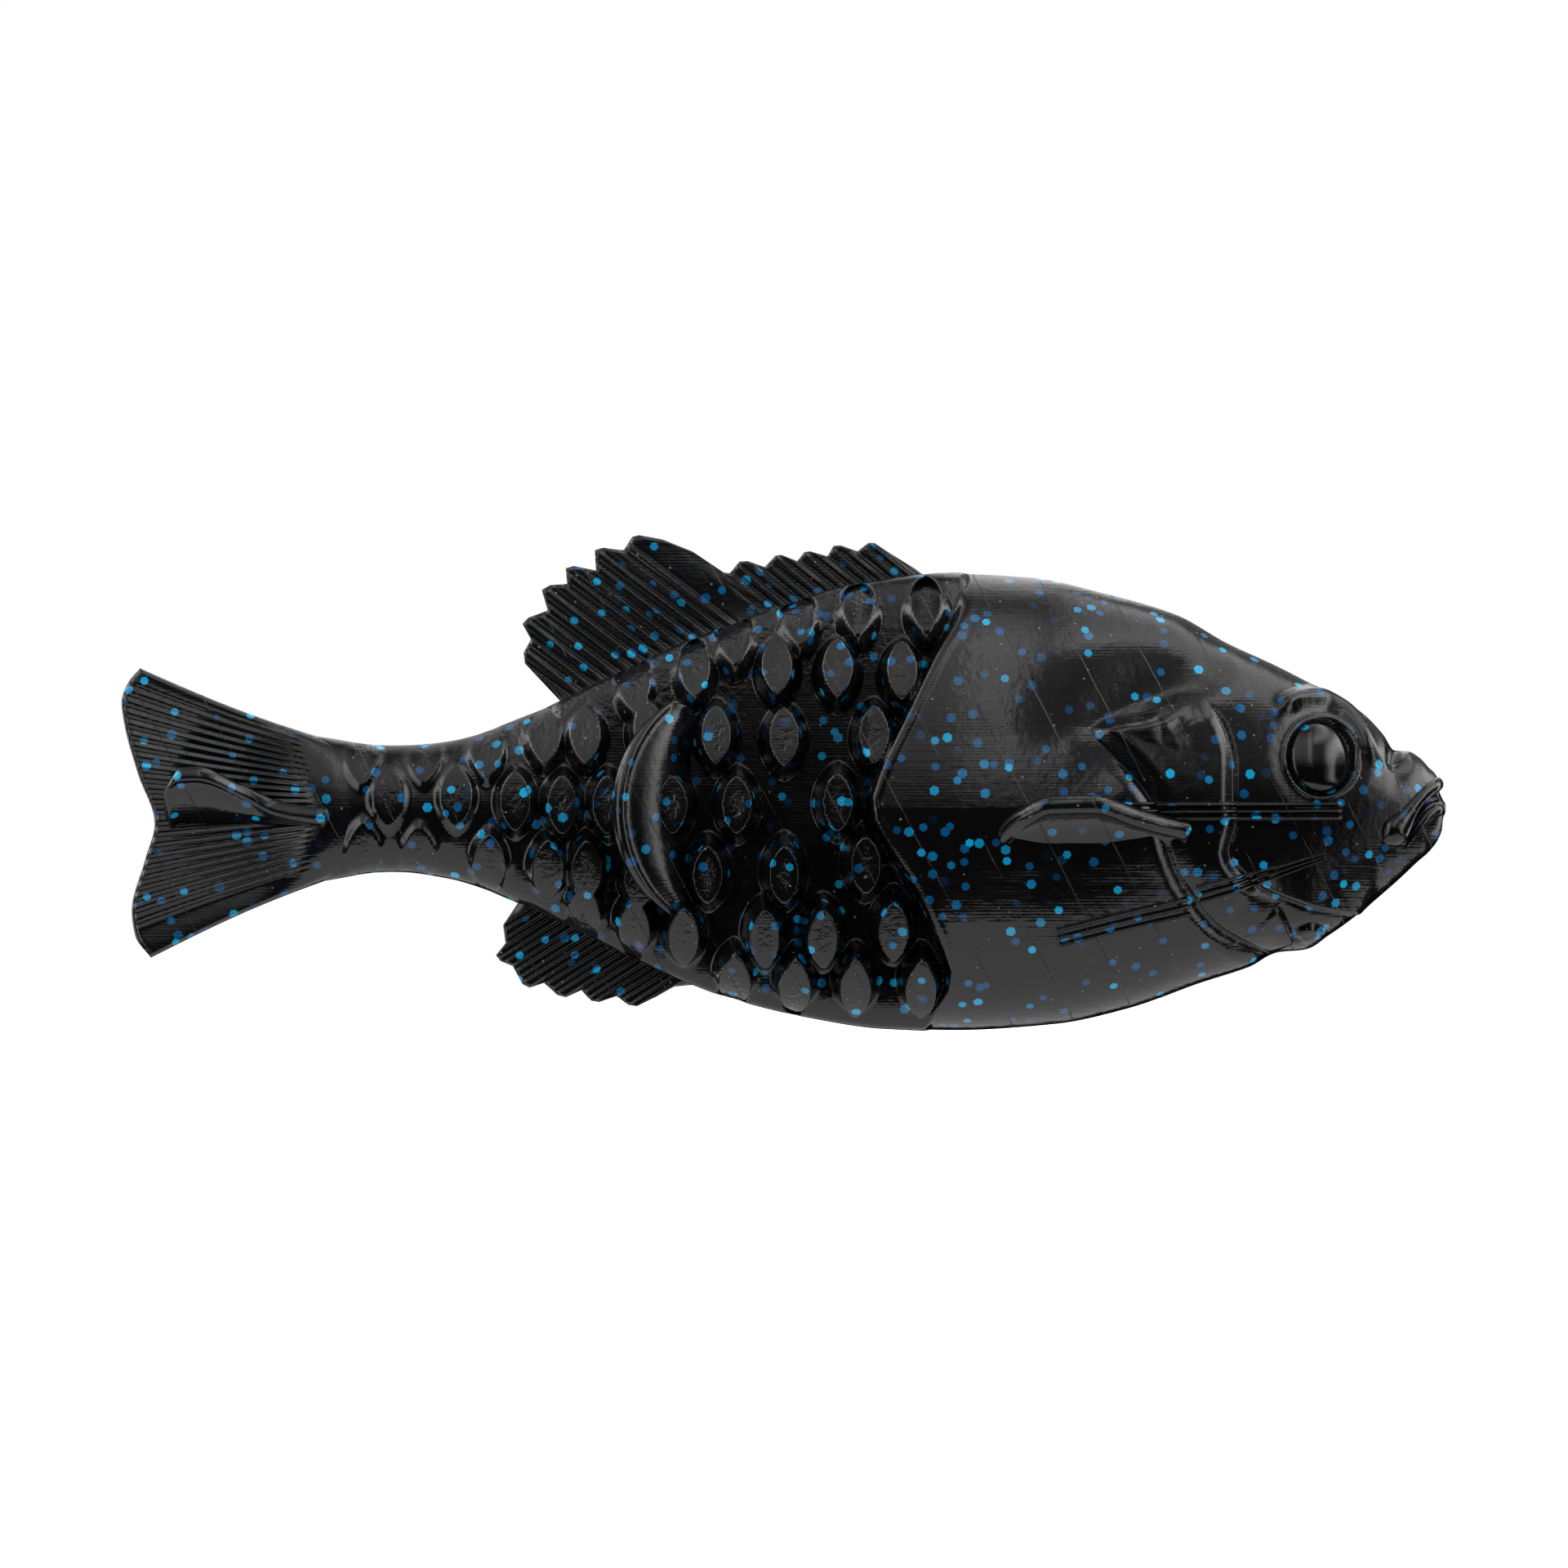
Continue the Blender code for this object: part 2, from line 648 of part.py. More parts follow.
def tail_flap(side):
    """The flap on the tail fin: it rises outwards from a level root along the fin's middle."""
    front = at(TAIL_STATION) - TAIL_FLAP_INSET
    rear = front - TAIL_FLAP_LENGTH
    lift = FLAP_THICKNESS / 2 + FLAP_GAP
    bend_x = at(TAIL_STATION) - TAIL_ROOT_BLEND
    y_rear = TAIL_THICKNESS / 2 + lift
    rise = max((tail_side(x) - TAIL_THICKNESS / 2) / (x - rear) for x in (front, (front + bend_x) / 2))
    start = Vector((rear, side * y_rear, TAIL_FLAP_HEIGHT))
    end = Vector((front, side * (y_rear + rise * TAIL_FLAP_LENGTH), TAIL_FLAP_HEIGHT))
    length = (end - start).length
    shape = [(0.0, 0.0), (1.0, 0.0), (1.0, 0.22), (0.7, 0.30), (0.46, 0.66), (0.16, 1.0), (0.04, 0.84)]
    outline = [(u * length, v * TAIL_FLAP_REACH) for u, v in shape]
    name = "tail_flap_" + SIDE_NAMES[side]
    basis = rising_plane(start, end, side, FLAP_RISE)
    return flat_fin(name, outline, FLAP_THICKNESS, basis, "black_fin_plastic")


def core(name, front, rear, rings, relief, hinge_station):
    """A stretch of the slim core with its pegs."""
    mesh = loft(name, front, rear, core_flank, rings)
    made = finish(name, mesh, "black_plastic", (at(hinge_station), 0.0, 0.0))
    add_boolean(made, peg_field(name, relief), "UNION")
    return made


def fore_core():
    slope = tan(radians(SHOULDER_BEND))

    def front(y, z):
        return arrow_edge(z) - JOINT_GAP - slope * abs(y)

    rear = ahead_of_hinge(MIDDLE_STATION, MIDDLE_BEND)
    return core("fore_core", front, rear, 6, lambda full: full, SHOULDER_STATION)


def aft_core():
    front = behind_hinge(MIDDLE_STATION, MIDDLE_BEND)
    rear = ahead_of_hinge(STEM_STATION, STEM_BEND)
    return core("aft_core", front, rear, 6, lambda full: full, MIDDLE_STATION)


def tail_stem():
    front = behind_hinge(STEM_STATION, STEM_BEND)
    rear = ahead_of_hinge(TAIL_STATION, TAIL_BEND)
    return core("tail_stem", front, rear, 6, lambda full: min(full, STEM_PEG_RELIEF), STEM_STATION)


def tail_fin():
    """The forked tail fin: a flat blade whose root thickens to meet the stem."""
    x0 = at(TAIL_STATION)
    x_end = x0 - TAIL_LENGTH
    upper, lower = back(x0), belly(x0)
    bm = bmesh.new()
    slope = tan(radians(TAIL_BEND) / 2)
    rings = 8
    steps = 6
    grid = []
    for ring in range(rings + 1):
        share = ring / rings
        row = []
        for k in range(4 * steps):
            angle = pi / 2 + 2 * pi * k / (4 * steps)
            up = sin(angle)
            tip = TAIL_UPPER_TIP if up >= 0 else TAIL_LOWER_TIP
            root = upper if up >= 0 else lower
            inset = TAIL_NOTCH_DEPTH * (1 - abs(up - TAIL_NOTCH_HEIGHT / TAIL_LOWER_TIP)) ** 2
            y = tail_side(x0 - TAIL_LENGTH * share) * cos(angle)
            start = x0 - JOINT_GAP / 2 - slope * abs(y)
            x = start + (x_end + inset - start) * share
            z = up * (root + (tip - root) * share)
            row.append(bm.verts.new((x, y, z)))
        grid.append(row)
    count = 4 * steps
    for ahead, behind in zip(grid, grid[1:]):
        for k in range(count):
            n = (k + 1) % count
            bm.faces.new((ahead[k], ahead[n], behind[n], behind[k]))
    for row, root in ((grid[0], True), (grid[-1], False)):
        middle = [row[0]]
        for k in range(1, count // 2):
            x = x0 - JOINT_GAP / 2 if root else row[k].co.x
            middle.append(bm.verts.new((x, 0.0, row[k].co.z)))
        middle.append(row[count // 2])
        for k in range(count // 2):
            left = [row[k], row[k + 1], middle[k + 1], middle[k]]
            right = [row[-k], middle[k], middle[k + 1], row[-k - 1]]
            for corners in (left, right):
                bm.faces.new(list(dict.fromkeys(corners)))
    bmesh.ops.recalc_face_normals(bm, faces=bm.faces)
    mesh = bpy.data.meshes.new("tail_fin")
    bm.to_mesh(mesh)
    bm.free()
    return finish("tail_fin", mesh, "black_fin_plastic", (x0, 0.0, 0.0))


clear_scene()
PARTS = collection("sunfish_swimbait")
CUTTERS = collection("cutters")
SIDE_NAMES = {-1: "right", 1: "left"}
MATERIALS = {
    "black_plastic": plastic("black_plastic", COLOURS["black_plastic"], 0.18),
    "black_fin_plastic": plastic("black_fin_plastic", COLOURS["black_fin_plastic"], 0.22),
    "black_eye_plastic": plastic("black_eye_plastic", COLOURS["black_eye_plastic"], 0.08),
}

front_body()
lip("upper_lip", UPPER_LIP_HEIGHT, UPPER_CORNER_DROP)
lip("lower_lip", LOWER_LIP_HEIGHT, LOWER_CORNER_DROP)
fore_core()
aft_core()
tail_stem()
tail_fin()
spiny_dorsal()
soft_dorsal()
anal_fin()
for flank_side in (-1, 1):
    eye(flank_side)
    gill_cover(flank_side)
    pectoral_fin(flank_side)
    side_flap(flank_side)
    tail_flap(flank_side)
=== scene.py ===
import json
from math import cos, pi, radians, sin

import bpy
import numpy as np
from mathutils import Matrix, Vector


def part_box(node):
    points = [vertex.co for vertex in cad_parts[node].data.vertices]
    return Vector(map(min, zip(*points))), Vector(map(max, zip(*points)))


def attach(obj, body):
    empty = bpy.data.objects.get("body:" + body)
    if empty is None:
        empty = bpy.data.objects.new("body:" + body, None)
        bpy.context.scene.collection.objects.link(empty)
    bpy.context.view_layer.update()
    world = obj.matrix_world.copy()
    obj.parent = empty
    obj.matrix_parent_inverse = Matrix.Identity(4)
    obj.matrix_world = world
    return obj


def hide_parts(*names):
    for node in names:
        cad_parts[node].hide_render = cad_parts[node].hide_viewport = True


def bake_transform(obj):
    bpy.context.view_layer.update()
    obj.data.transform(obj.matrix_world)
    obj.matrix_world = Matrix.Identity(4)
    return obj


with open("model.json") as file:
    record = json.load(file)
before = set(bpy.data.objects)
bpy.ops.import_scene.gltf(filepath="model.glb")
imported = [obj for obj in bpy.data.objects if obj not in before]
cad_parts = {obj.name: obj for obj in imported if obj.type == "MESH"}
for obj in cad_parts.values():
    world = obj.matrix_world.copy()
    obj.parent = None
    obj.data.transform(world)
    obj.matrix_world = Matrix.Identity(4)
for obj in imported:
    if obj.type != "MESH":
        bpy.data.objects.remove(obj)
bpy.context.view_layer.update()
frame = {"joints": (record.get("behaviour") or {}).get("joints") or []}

# ---- The body casting ----
# The body is one pour of soft black plastic: a thick smooth head and shoulders, and behind them a slim
# core that carries the scale posts. The skin below is that casting's surface, as the open mould leaves it.
# Lengths are in millimetres, and "back from the nose" is how far a place lies behind the nose tip.

MM = 0.001

# Outlines, as (back from the nose, half size there): up to the back, down to the belly, out to the flank,
# and out to the slim core between the posts
BACK_LINE = [
    (0, 0.3), (0.3, 0.8), (0.62, 1.6), (0.75, 2.6), (1.5, 3.45), (2.2, 4.2), (3.2, 4.75), (4.3, 4.8),
    (5.2, 6.1), (6.9, 7.85), (10.2, 9.8), (14.2, 11.9), (18.3, 13.8), (22.4, 16.1), (28.4, 17.9),
    (34.5, 19.2), (40.6, 19.5), (49, 18.6), (55.6, 16.6), (63.8, 13.5), (70.2, 10.5), (76.2, 7.7),
    (83, 5.5), (87.4, 5.2), (94, 6.0),
]
BELLY_LINE = [
    (0, 0.3), (0.25, 0.9), (0.35, 1.9), (1.3, 3.5), (2.4, 4.5), (4.1, 6.1), (7.4, 8.9), (9.6, 10.5),
    (11.8, 11.8), (13.9, 12.0), (16.3, 13.1), (20.3, 14.5), (26.4, 16.7), (32.5, 18.0), (40.6, 18.5),
    (46.7, 18.3), (52.8, 17.4), (59, 15.9), (63.8, 14.1), (70.2, 11.1), (76.2, 8.2), (83, 5.8),
    (87.4, 5.3), (94, 6.2),
]
FLANK_LINE = [
    (0, 0.4), (0.7, 1.7), (2, 2.9), (5, 4.3), (10, 5.95), (16, 7.6), (23.7, 9.4), (31.9, 10.5),
    (40.1, 10.8), (48.3, 10.1), (55.6, 8.9), (63.8, 7.3), (70.2, 6.1), (76.2, 5.0), (83, 4.0),
    (89, 3.6), (94, 2.2),
]
CORE_LINE = [
    (0, 0.3), (30, 5.6), (40.1, 5.5), (48.3, 5.1), (55.6, 4.6), (63.8, 4.0), (70.2, 3.7), (76.2, 3.6),
    (83, 3.5), (89, 3.2), (94, 2.1),
]


def through(points, where):
    """A smooth curve through (place, value) points, which doesn't overshoot them."""
    places, values = np.array(points, float).T
    gap = np.diff(places)
    rise = np.diff(values) / gap
    slope = np.zeros(len(places))
    same = rise[:-1] * rise[1:] > 0
    slope[1:-1][same] = 2 * rise[:-1][same] * rise[1:][same] / (rise[:-1] + rise[1:])[same]
    slope[0], slope[-1] = rise[0], rise[-1]
    where = np.clip(where, places[0], places[-1])
    i = np.clip(np.searchsorted(places, where) - 1, 0, len(gap) - 1)
    t = (where - places[i]) / gap[i]
    start = (1 + 2 * t) * (1 - t) ** 2 * values[i] + t * (1 - t) ** 2 * gap[i] * slope[i]
    end = t**2 * (3 - 2 * t) * values[i + 1] - t**2 * (1 - t) * gap[i] * slope[i + 1]
    return start + end


def ease(low, high, value):
    """0 below low, 1 above high, and a smooth rise between them."""
    t = np.clip((value - low) / (high - low), 0, 1)
    return t * t * (3 - 2 * t)


def height_of(x, up):
    """The outline's half height at x, on the back's or the belly's side."""
    return np.where(up, through(BACK_LINE, -x), through(BELLY_LINE, -x))


def smooth_line(points, count=26):
    """A drawn line as evenly spaced points on a smooth curve through the given (x, z) points."""
    points = np.array(points, float)
    along = np.concatenate([[0], np.cumsum(np.hypot(*np.diff(points, axis=0).T))])
    where = np.linspace(0, along[-1], count)
    return np.stack([through(list(zip(along, points[:, k])), where) for k in (0, 1)], axis=1)


def near_line(points, x, z):
    """Distance to a drawn line, the same with a sign (positive on its left), and the share along it."""
    line = smooth_line(points)
    best = np.full(x.shape, 1e9)
    signed = np.zeros(x.shape)
    share = np.zeros(x.shape)
    last = len(line) - 1
    for k in range(last):
        (ax, az), (bx, bz) = line[k], line[k + 1]
        dx, dz = bx - ax, bz - az
        t = np.clip(((x - ax) * dx + (z - az) * dz) / (dx * dx + dz * dz), 0, 1)
        qx, qz = x - ax - t * dx, z - az - t * dz
        distance = np.hypot(qx, qz)
        closer = distance < best
        best = np.where(closer, distance, best)
        signed = np.where(closer, np.sign(dx * qz - dz * qx) * distance, signed)
        share = np.where(closer, (k + t) / last, share)
    return best, signed, share


def ledge(signed, share, height, reach, groove, groove_reach, rounding=0.5):
    """A raised edge on a line's left side, with a groove on its right, that fades out at both ends."""
    up = ease(-0.15, rounding, signed)
    raised = height * np.exp(-np.maximum(signed, 0) / reach) * (1 - ease(3, 7, signed))
    sunk = groove * np.exp(-np.maximum(-signed, 0) / groove_reach)
    ends = ease(0, 0.12, share) * (1 - ease(0.9, 1.0, share))
    return (up * raised - (1 - up) * sunk) * ends


def swell(distance, height, width):
    """A round ridge along a line, which is a furrow where it is taken away."""
    return height * np.exp(-((distance / width) ** 2))


# The eye's middle and half sizes, and the lines drawn on one side of the head, as (x, height z)
EYE_X, EYE_Z = -10.6, 4.2
EYE_WIDE, EYE_TALL = 2.7, 3.0
GILL_EDGE = [
    (-22.0, 9.6), (-25.1, 8.0), (-27.8, 7.7), (-29.7, 6.5), (-27.4, 4.0), (-25.3, 1.7), (-24.0, -0.7),
    (-23.1, -3.9), (-22.2, -6.0), (-20.9, -7.9), (-19.1, -9.9), (-16.4, -11.4), (-13.6, -12.4),
]
CHEEK_EDGE = [
    (-20.4, 9.3), (-19.5, 8.2), (-18.5, 6.4), (-17.95, 3.8), (-17.95, 0.9), (-17.7, -1.1), (-18.3, -3.6),
    (-17.1, -5.6), (-15.5, -6.6),
]
JAW_EDGE = [(-6.2, -9.2), (-7.6, -8.9), (-10.7, -8.4), (-13.2, -7.6), (-15.5, -6.6), (-16.6, -5.6)]
THROAT_EDGE = [(-14.2, -8.0), (-13.7, -8.6), (-13.0, -10.0), (-12.5, -11.2)]
THROAT_LOBE = [(-12.9, -10.6), (-12.3, -9.9), (-11.2, -9.6), (-9.8, -10.3)]
BROW_LINE = [
    (-14.6, 7.4), (-13.6, 8.5), (-12.2, 9.1), (-10.2, 9.2), (-8.7, 8.4), (-7.5, 6.7), (-6.6, 4.9),
    (-5.4, 3.0),
]
HOLLOW_LINE = [(-36.0, 4.5), (-31.5, 7.2), (-27.0, 8.9), (-22.0, 10.4), (-17.0, 10.8)]
MOUTH_LINE = [(-0.2, 0.75), (-1.2, 0.45), (-2.2, -0.5), (-3.0, -1.7), (-3.7, -3.1)]
NOSTRIL_LINE = [(-4.4, 5.4), (-4.5, 4.6), (-4.7, 3.6), (-4.4, 3.0)]


def head_relief(x, z):
    """How far the head's plates, creases and lips stand out from its smooth form."""
    _, side, share = near_line(GILL_EDGE, x, z)
    ear = ledge(side, share, height=1.3, reach=4.2, groove=0.3, groove_reach=1.5, rounding=1.7)
    relief = ear * (1 - 0.8 * ease(0.3, 0.6, share))
    fold = ledge(-side, share, height=0.75, reach=2.2, groove=0.1, groove_reach=0.6, rounding=1.5)
    relief += (fold - swell(side, height=0.22, width=0.16)) * ease(0.3, 0.42, share)

    _, side, share = near_line(CHEEK_EDGE, x, z)
    relief += ledge(-side, share, height=0.6, reach=2.0, groove=0.1, groove_reach=0.6, rounding=1.3)
    ends = ease(0, 0.2, share) * (1 - ease(0.85, 1, share))
    relief -= swell(side, height=0.2, width=0.16) * ends

    _, side, share = near_line(JAW_EDGE, x, z)
    relief += ledge(-side, share, height=0.6, reach=2.2, groove=0.35, groove_reach=0.6, rounding=0.4)
    _, side, share = near_line(THROAT_EDGE, x, z)
    relief += ledge(-side, share, height=0.3, reach=2.0, groove=0.25, groove_reach=0.5)
    _, side, share = near_line(THROAT_LOBE, x, z)
    relief += ledge(-side, share, height=0.35, reach=1.2, groove=0.2, groove_reach=0.4)

    away, side, share = near_line(HOLLOW_LINE, x, z)
    ends = ease(0, 0.6, share) * (1 - ease(0.7, 1, share))
    relief -= swell(away, height=0.95, width=np.where(side > 0, 3.4, 1.6)) * ends
    away, _, share = near_line(BROW_LINE, x, z)
    ends = ease(0, 0.15, share) * (1 - ease(0.75, 1, share))
    relief += swell(away, height=0.75, width=0.75) * ends

    ring = np.hypot((x - EYE_X) / EYE_WIDE, (z - EYE_Z) / EYE_TALL)
    relief -= 0.12 * (1 - ease(1.1, 1.7, ring))
    relief += swell(ring - 1.13, height=0.22, width=0.05)
    relief -= 0.5 * (1 - ease(1.0, 1.07, ring))

    away, _, share = near_line(NOSTRIL_LINE, x, z)
    relief -= swell(away, height=0.45, width=0.45) * (1 - ease(0.6, 1, share))
    away, _, share = near_line(MOUTH_LINE, x, z)
    relief -= swell(away, height=0.5, width=0.35) * (1 - ease(0.75, 1, share))
    return relief


# Scale posts: (x, height z) of each post's head on one flank, row by row from the back to the belly, and
# then two low ones on the tail's stem. Each post is a pointed oval that leans away from the middle.
POST_WIDE, POST_TALL = 2.7, 5.2
POSTS = [
    (-43.2, 17.0), (-48.8, 16.7), (-53.7, 15.9), (-59.0, 14.4),
    (-45.2, 11.4), (-50.5, 11.6), (-55.5, 11.8), (-62.3, 11.6), (-67.3, 10.4),
    (-47.5, 6.1), (-54.9, 5.9), (-60.5, 6.1), (-66.1, 6.5), (-71.3, 6.1), (-74.7, 6.1), (-79.5, 5.0),
    (-50.5, 0.5), (-58.8, 0.3), (-64.1, 0.3), (-69.5, 0.3), (-73.2, 0.3), (-77.1, 0.6), (-82.0, 1.0),
    (-87.6, 1.0),
    (-48.2, -4.7), (-54.9, -5.5), (-61.2, -5.5), (-66.8, -5.8), (-71.2, -5.1), (-74.4, -5.1),
    (-79.3, -4.7), (-85.1, -4.1), (-89.7, -3.7),
    (-45.9, -10.2), (-51.7, -10.8), (-56.5, -10.8), (-63.2, -10.7), (-67.3, -10.1), (-71.5, -8.9),
    (-43.6, -15.1), (-49.0, -15.0), (-54.0, -15.0), (-59.0, -14.6),
    (-84.6, 4.6), (-89.8, 4.4),
]
POST_WALL = 0.85
POST_LEAN = 0.35
POST_DISH = 0.13
POST_TIP_BLUNTING = 0.35
# The shoulders' flanks fall off a little to both sides of a low keel along their middle
KEEL_SLOPE = 0.065
KEEL_HALF = 6.0
CORE_SQUARENESS = 8.0
CORE_NARROWING = {"back": 0.22, "belly": 0.4}

# The arrow edge where the thick shoulders end, from the back round its tip to the belly, as (x, height z)
ARROW_EDGE = [
    (-39.4, 20.0), (-39.9, 16.6), (-42.1, 12.9), (-44.8, 7.5), (-47.2, 2.4), (-47.8, 0.2), (-46.9, -1.9),
    (-44.1, -6.3), (-42.1, -10.8), (-41.0, -14.0), (-42.3, -17.2), (-43.0, -20.0),
]


def post_distance(x, z):
    """Distance outside a post's outline, which is a pointed oval: where two round sides meet."""
    radius = (POST_WIDE**2 + POST_TALL**2) / (4 * POST_WIDE)
    middle = radius - POST_WIDE / 2
    right = np.hypot(x + middle, z) - radius
    left = np.hypot(x - middle, z) - radius
    blend = np.clip(0.5 + (right - left) / (2 * POST_TIP_BLUNTING), 0, 1)
    return left * (1 - blend) + right * blend + POST_TIP_BLUNTING * blend * (1 - blend)


def skin_grid(x, angle):
    """The casting's surface at each x and girth angle: the slim core, with what stands on it."""
    up = np.sin(angle) >= 0
    out = np.sign(np.cos(angle)) + (np.cos(angle) == 0)
    height = height_of(x, up)
    flank = through(FLANK_LINE, -x)
    core = np.minimum(through(CORE_LINE, -x), flank)
    z = height * np.sin(angle)
    steep = np.abs(np.sin(angle))
    slim = ease(34, 46, -x) * (1 - ease(66, 79, -x))
    square = 2 + (CORE_SQUARENESS - 2) * slim
    core_y = core * (1 - steep**square) ** (1 / square)
    core_y *= 1 - np.where(up, CORE_NARROWING["back"], CORE_NARROWING["belly"]) * steep**2 * slim

    arrow = near_line(ARROW_EDGE, x, z)[1]
    cover = ease(-0.75, 0.0, arrow)
    shift = np.zeros(x.shape)
    dish = np.zeros(x.shape)
    for post_x, post_z in POSTS:
        half = float(height_of(np.array(post_x), post_z >= 0))
        level = min(abs(post_z) / half, 0.93)
        post_z = np.sign(post_z) * level * half
        wide = float(through(FLANK_LINE, -post_x))
        lift = (wide - float(through(CORE_LINE, -post_x))) * (1 - level**2) ** 0.5
        slope = wide / half * level / (1 - level**2) ** 0.5
        lean = np.sign(post_z) * POST_LEAN * max(lift, 0) * slope
        near = np.abs(x - post_x) < POST_WIDE
        inside = post_distance(x[near] - post_x, z[near] - post_z + lean)
        here = np.clip(1 - (inside + 0.05) / POST_WALL, 0, 1) ** 2
        higher = here > cover[near]
        shift[near] = np.where(higher, lean * here, shift[near])
        dish[near] = np.where(higher, POST_DISH * ease(0.0, 1.1, -inside - 0.15), dish[near])
        cover[near] = np.maximum(cover[near], here)

    head_z = np.clip(z + shift, -0.995 * height, 0.995 * height)
    level = np.abs(head_z) / height
    head_y = flank * np.sqrt(1 - level**2) - dish
    head_y += swell(arrow - 0.4, height=0.16, width=0.3) * (1 - level)
    keel = KEEL_SLOPE * np.minimum(np.abs(head_z), KEEL_HALF)
    keel *= ease(16, 26, -x) * (1 - ease(47.5, 49.5, -x))
    head_y = np.maximum(head_y - keel * cover, 0)
    y = core_y + (head_y - core_y) * cover
    heads = np.clip(dish / POST_DISH, 0, 1)
    rough_top = ease(0.5, 0.8, z / height) * ease(44, 50, -x) * (1 - ease(76, 84, -x)) * (1 - cover)
    heads = np.maximum(heads, 0.9 * rough_top)
    hidden = (1 - cover) * ease(44, 50, -x) * (1 - ease(72, 84, -x))
    return np.stack([x, out * y, z + (head_z - z) * cover], axis=-1), heads, hidden


def grid_normals(points, closed):
    """Outward unit normals of a grid of points, whose columns may close on themselves."""
    across = np.roll(points, -1, 1) - np.roll(points, 1, 1) if closed else np.gradient(points, axis=1)
    normal = np.cross(np.gradient(points, axis=0), across)
    return normal / np.maximum(np.linalg.norm(normal, axis=-1, keepdims=True), 1e-9)


# The grid's girths lie back from the nose, in five stretches between seams, and closest at the snout. The
# steps round each girth crowd towards the flanks, where the posts are.
COARSENESS = 1
GIRTH_STEPS = 480 // COARSENESS
FLANK_CROWDING = 0.125
SNOUT_LENGTH, SNOUT_ROWS = 6.0, 50 // COARSENESS
SEAMS = [0.0, 36.6, 53.4, 69.2, 83.6, 93.6]
SPACING = [0.2, 0.16, 0.16, 0.17, 0.2]
HEAD_END = -42.0
rows = [SNOUT_LENGTH * np.linspace(0, 1, SNOUT_ROWS, endpoint=False) ** 2]
for start, end, spacing in zip(SEAMS, SEAMS[1:], SPACING):
    start = max(start, SNOUT_LENGTH)
    rows.append(np.linspace(start, end, round((end - start) / spacing / COARSENESS), endpoint=False))
rows = -np.concatenate(rows + [[SEAMS[-1]]])
turn = np.arange(GIRTH_STEPS) * 2 * pi / GIRTH_STEPS
girth = turn - FLANK_CROWDING * np.sin(2 * turn)
grid_x, grid_angle = np.meshgrid(rows, girth, indexing="ij")
skin, post_heads, between_posts = skin_grid(grid_x, grid_angle)
smooth_normals = grid_normals(skin, True)

# The head's relief is shallower towards the middle plane, and at the snout it is not pushed forwards
on_head = rows > HEAD_END
relief = head_relief(skin[on_head][..., 0], skin[on_head][..., 2])
relief *= ease(0.0, 2.5, np.abs(skin[on_head][..., 1])) * 0.85 + 0.15
push = smooth_normals[on_head] * relief[..., None]
push[..., 0] *= ease(1.0, 6.0, -skin[on_head][..., 0])
skin[on_head] += push
skin[..., 0] = np.minimum(skin[..., 0], -0.05)
skin_normals = grid_normals(skin, True)


# The posts' heads and the space between them are told apart in the material, by these two attributes
POINT_MARKS = {"coarse_grain": post_heads, "dull": between_posts}


def keep_mould_place(mesh, normals=None):
    """Stores where each point lay in the mould, and which way it faced, for the material to read."""
    count = len(mesh.vertices)
    places = np.zeros(count * 3, np.float32)
    mesh.vertices.foreach_get("co", places)
    if normals is None:
        normals = np.zeros(count * 3, np.float32)
        mesh.vertex_normals.foreach_get("vector", normals)
    for name, values in (("mould_place", places), ("mould_normal", normals)):
        attribute = mesh.attributes.new(name, "FLOAT_VECTOR", "POINT")
        attribute.data.foreach_set("vector", np.asarray(values, np.float32).ravel())


def skin_piece(name, first, last):
    """A closed stretch of the casting between two girths, shaded as part of the whole."""
    stretch = slice(first, last + 1)
    points = skin[stretch].reshape(-1, 3)
    normals = skin_normals[stretch].reshape(-1, 3)
    count = last - first
    i, j = np.meshgrid(np.arange(count), np.arange(GIRTH_STEPS), indexing="ij")
    n = (j + 1) % GIRTH_STEPS
    row = i * GIRTH_STEPS
    quads = np.stack([row + j, row + GIRTH_STEPS + j, row + GIRTH_STEPS + n, row + n], -1).reshape(-1, 4)
    ends = [skin[first].mean(0), skin[last].mean(0)]
    points = np.concatenate([points, ends])
    normals = np.concatenate([normals, [(1, 0, 0), (-1, 0, 0)]])
    faces = quads.tolist()
    front, rear = len(points) - 2, len(points) - 1
    base = count * GIRTH_STEPS
    for k in range(GIRTH_STEPS):
        m = (k + 1) % GIRTH_STEPS
        faces.append((front, k, m))
        faces.append((rear, base + m, base + k))
    mesh = bpy.data.meshes.new(name)
    mesh.from_pydata((points * MM).tolist(), [], faces)
    mesh.shade_smooth()
    mesh.update()
    keep_mould_place(mesh, normals)
    for label, values in POINT_MARKS.items():
        attribute = mesh.attributes.new(label, "FLOAT", "POINT")
        attribute.data.foreach_set("value", np.append(values[stretch].ravel(), (0, 0)).astype(np.float32))
    corners = np.zeros(len(mesh.loops), np.int32)
    mesh.loops.foreach_get("vertex_index", corners)
    corner_normals = normals[corners]
    end_corners = corner_normals[len(quads) * 4 :].reshape(-1, 6, 3)
    end_corners[:, :3] = (1, 0, 0)
    end_corners[:, 3:] = (-1, 0, 0)
    mesh.normals_split_custom_set(corner_normals.tolist())
    made = bpy.data.objects.new(name, mesh)
    bpy.context.scene.collection.objects.link(made)
    return made


def flex_over(piece):
    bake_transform(piece)


seam_rows = [int(np.argmin(np.abs(rows + seam))) for seam in SEAMS]

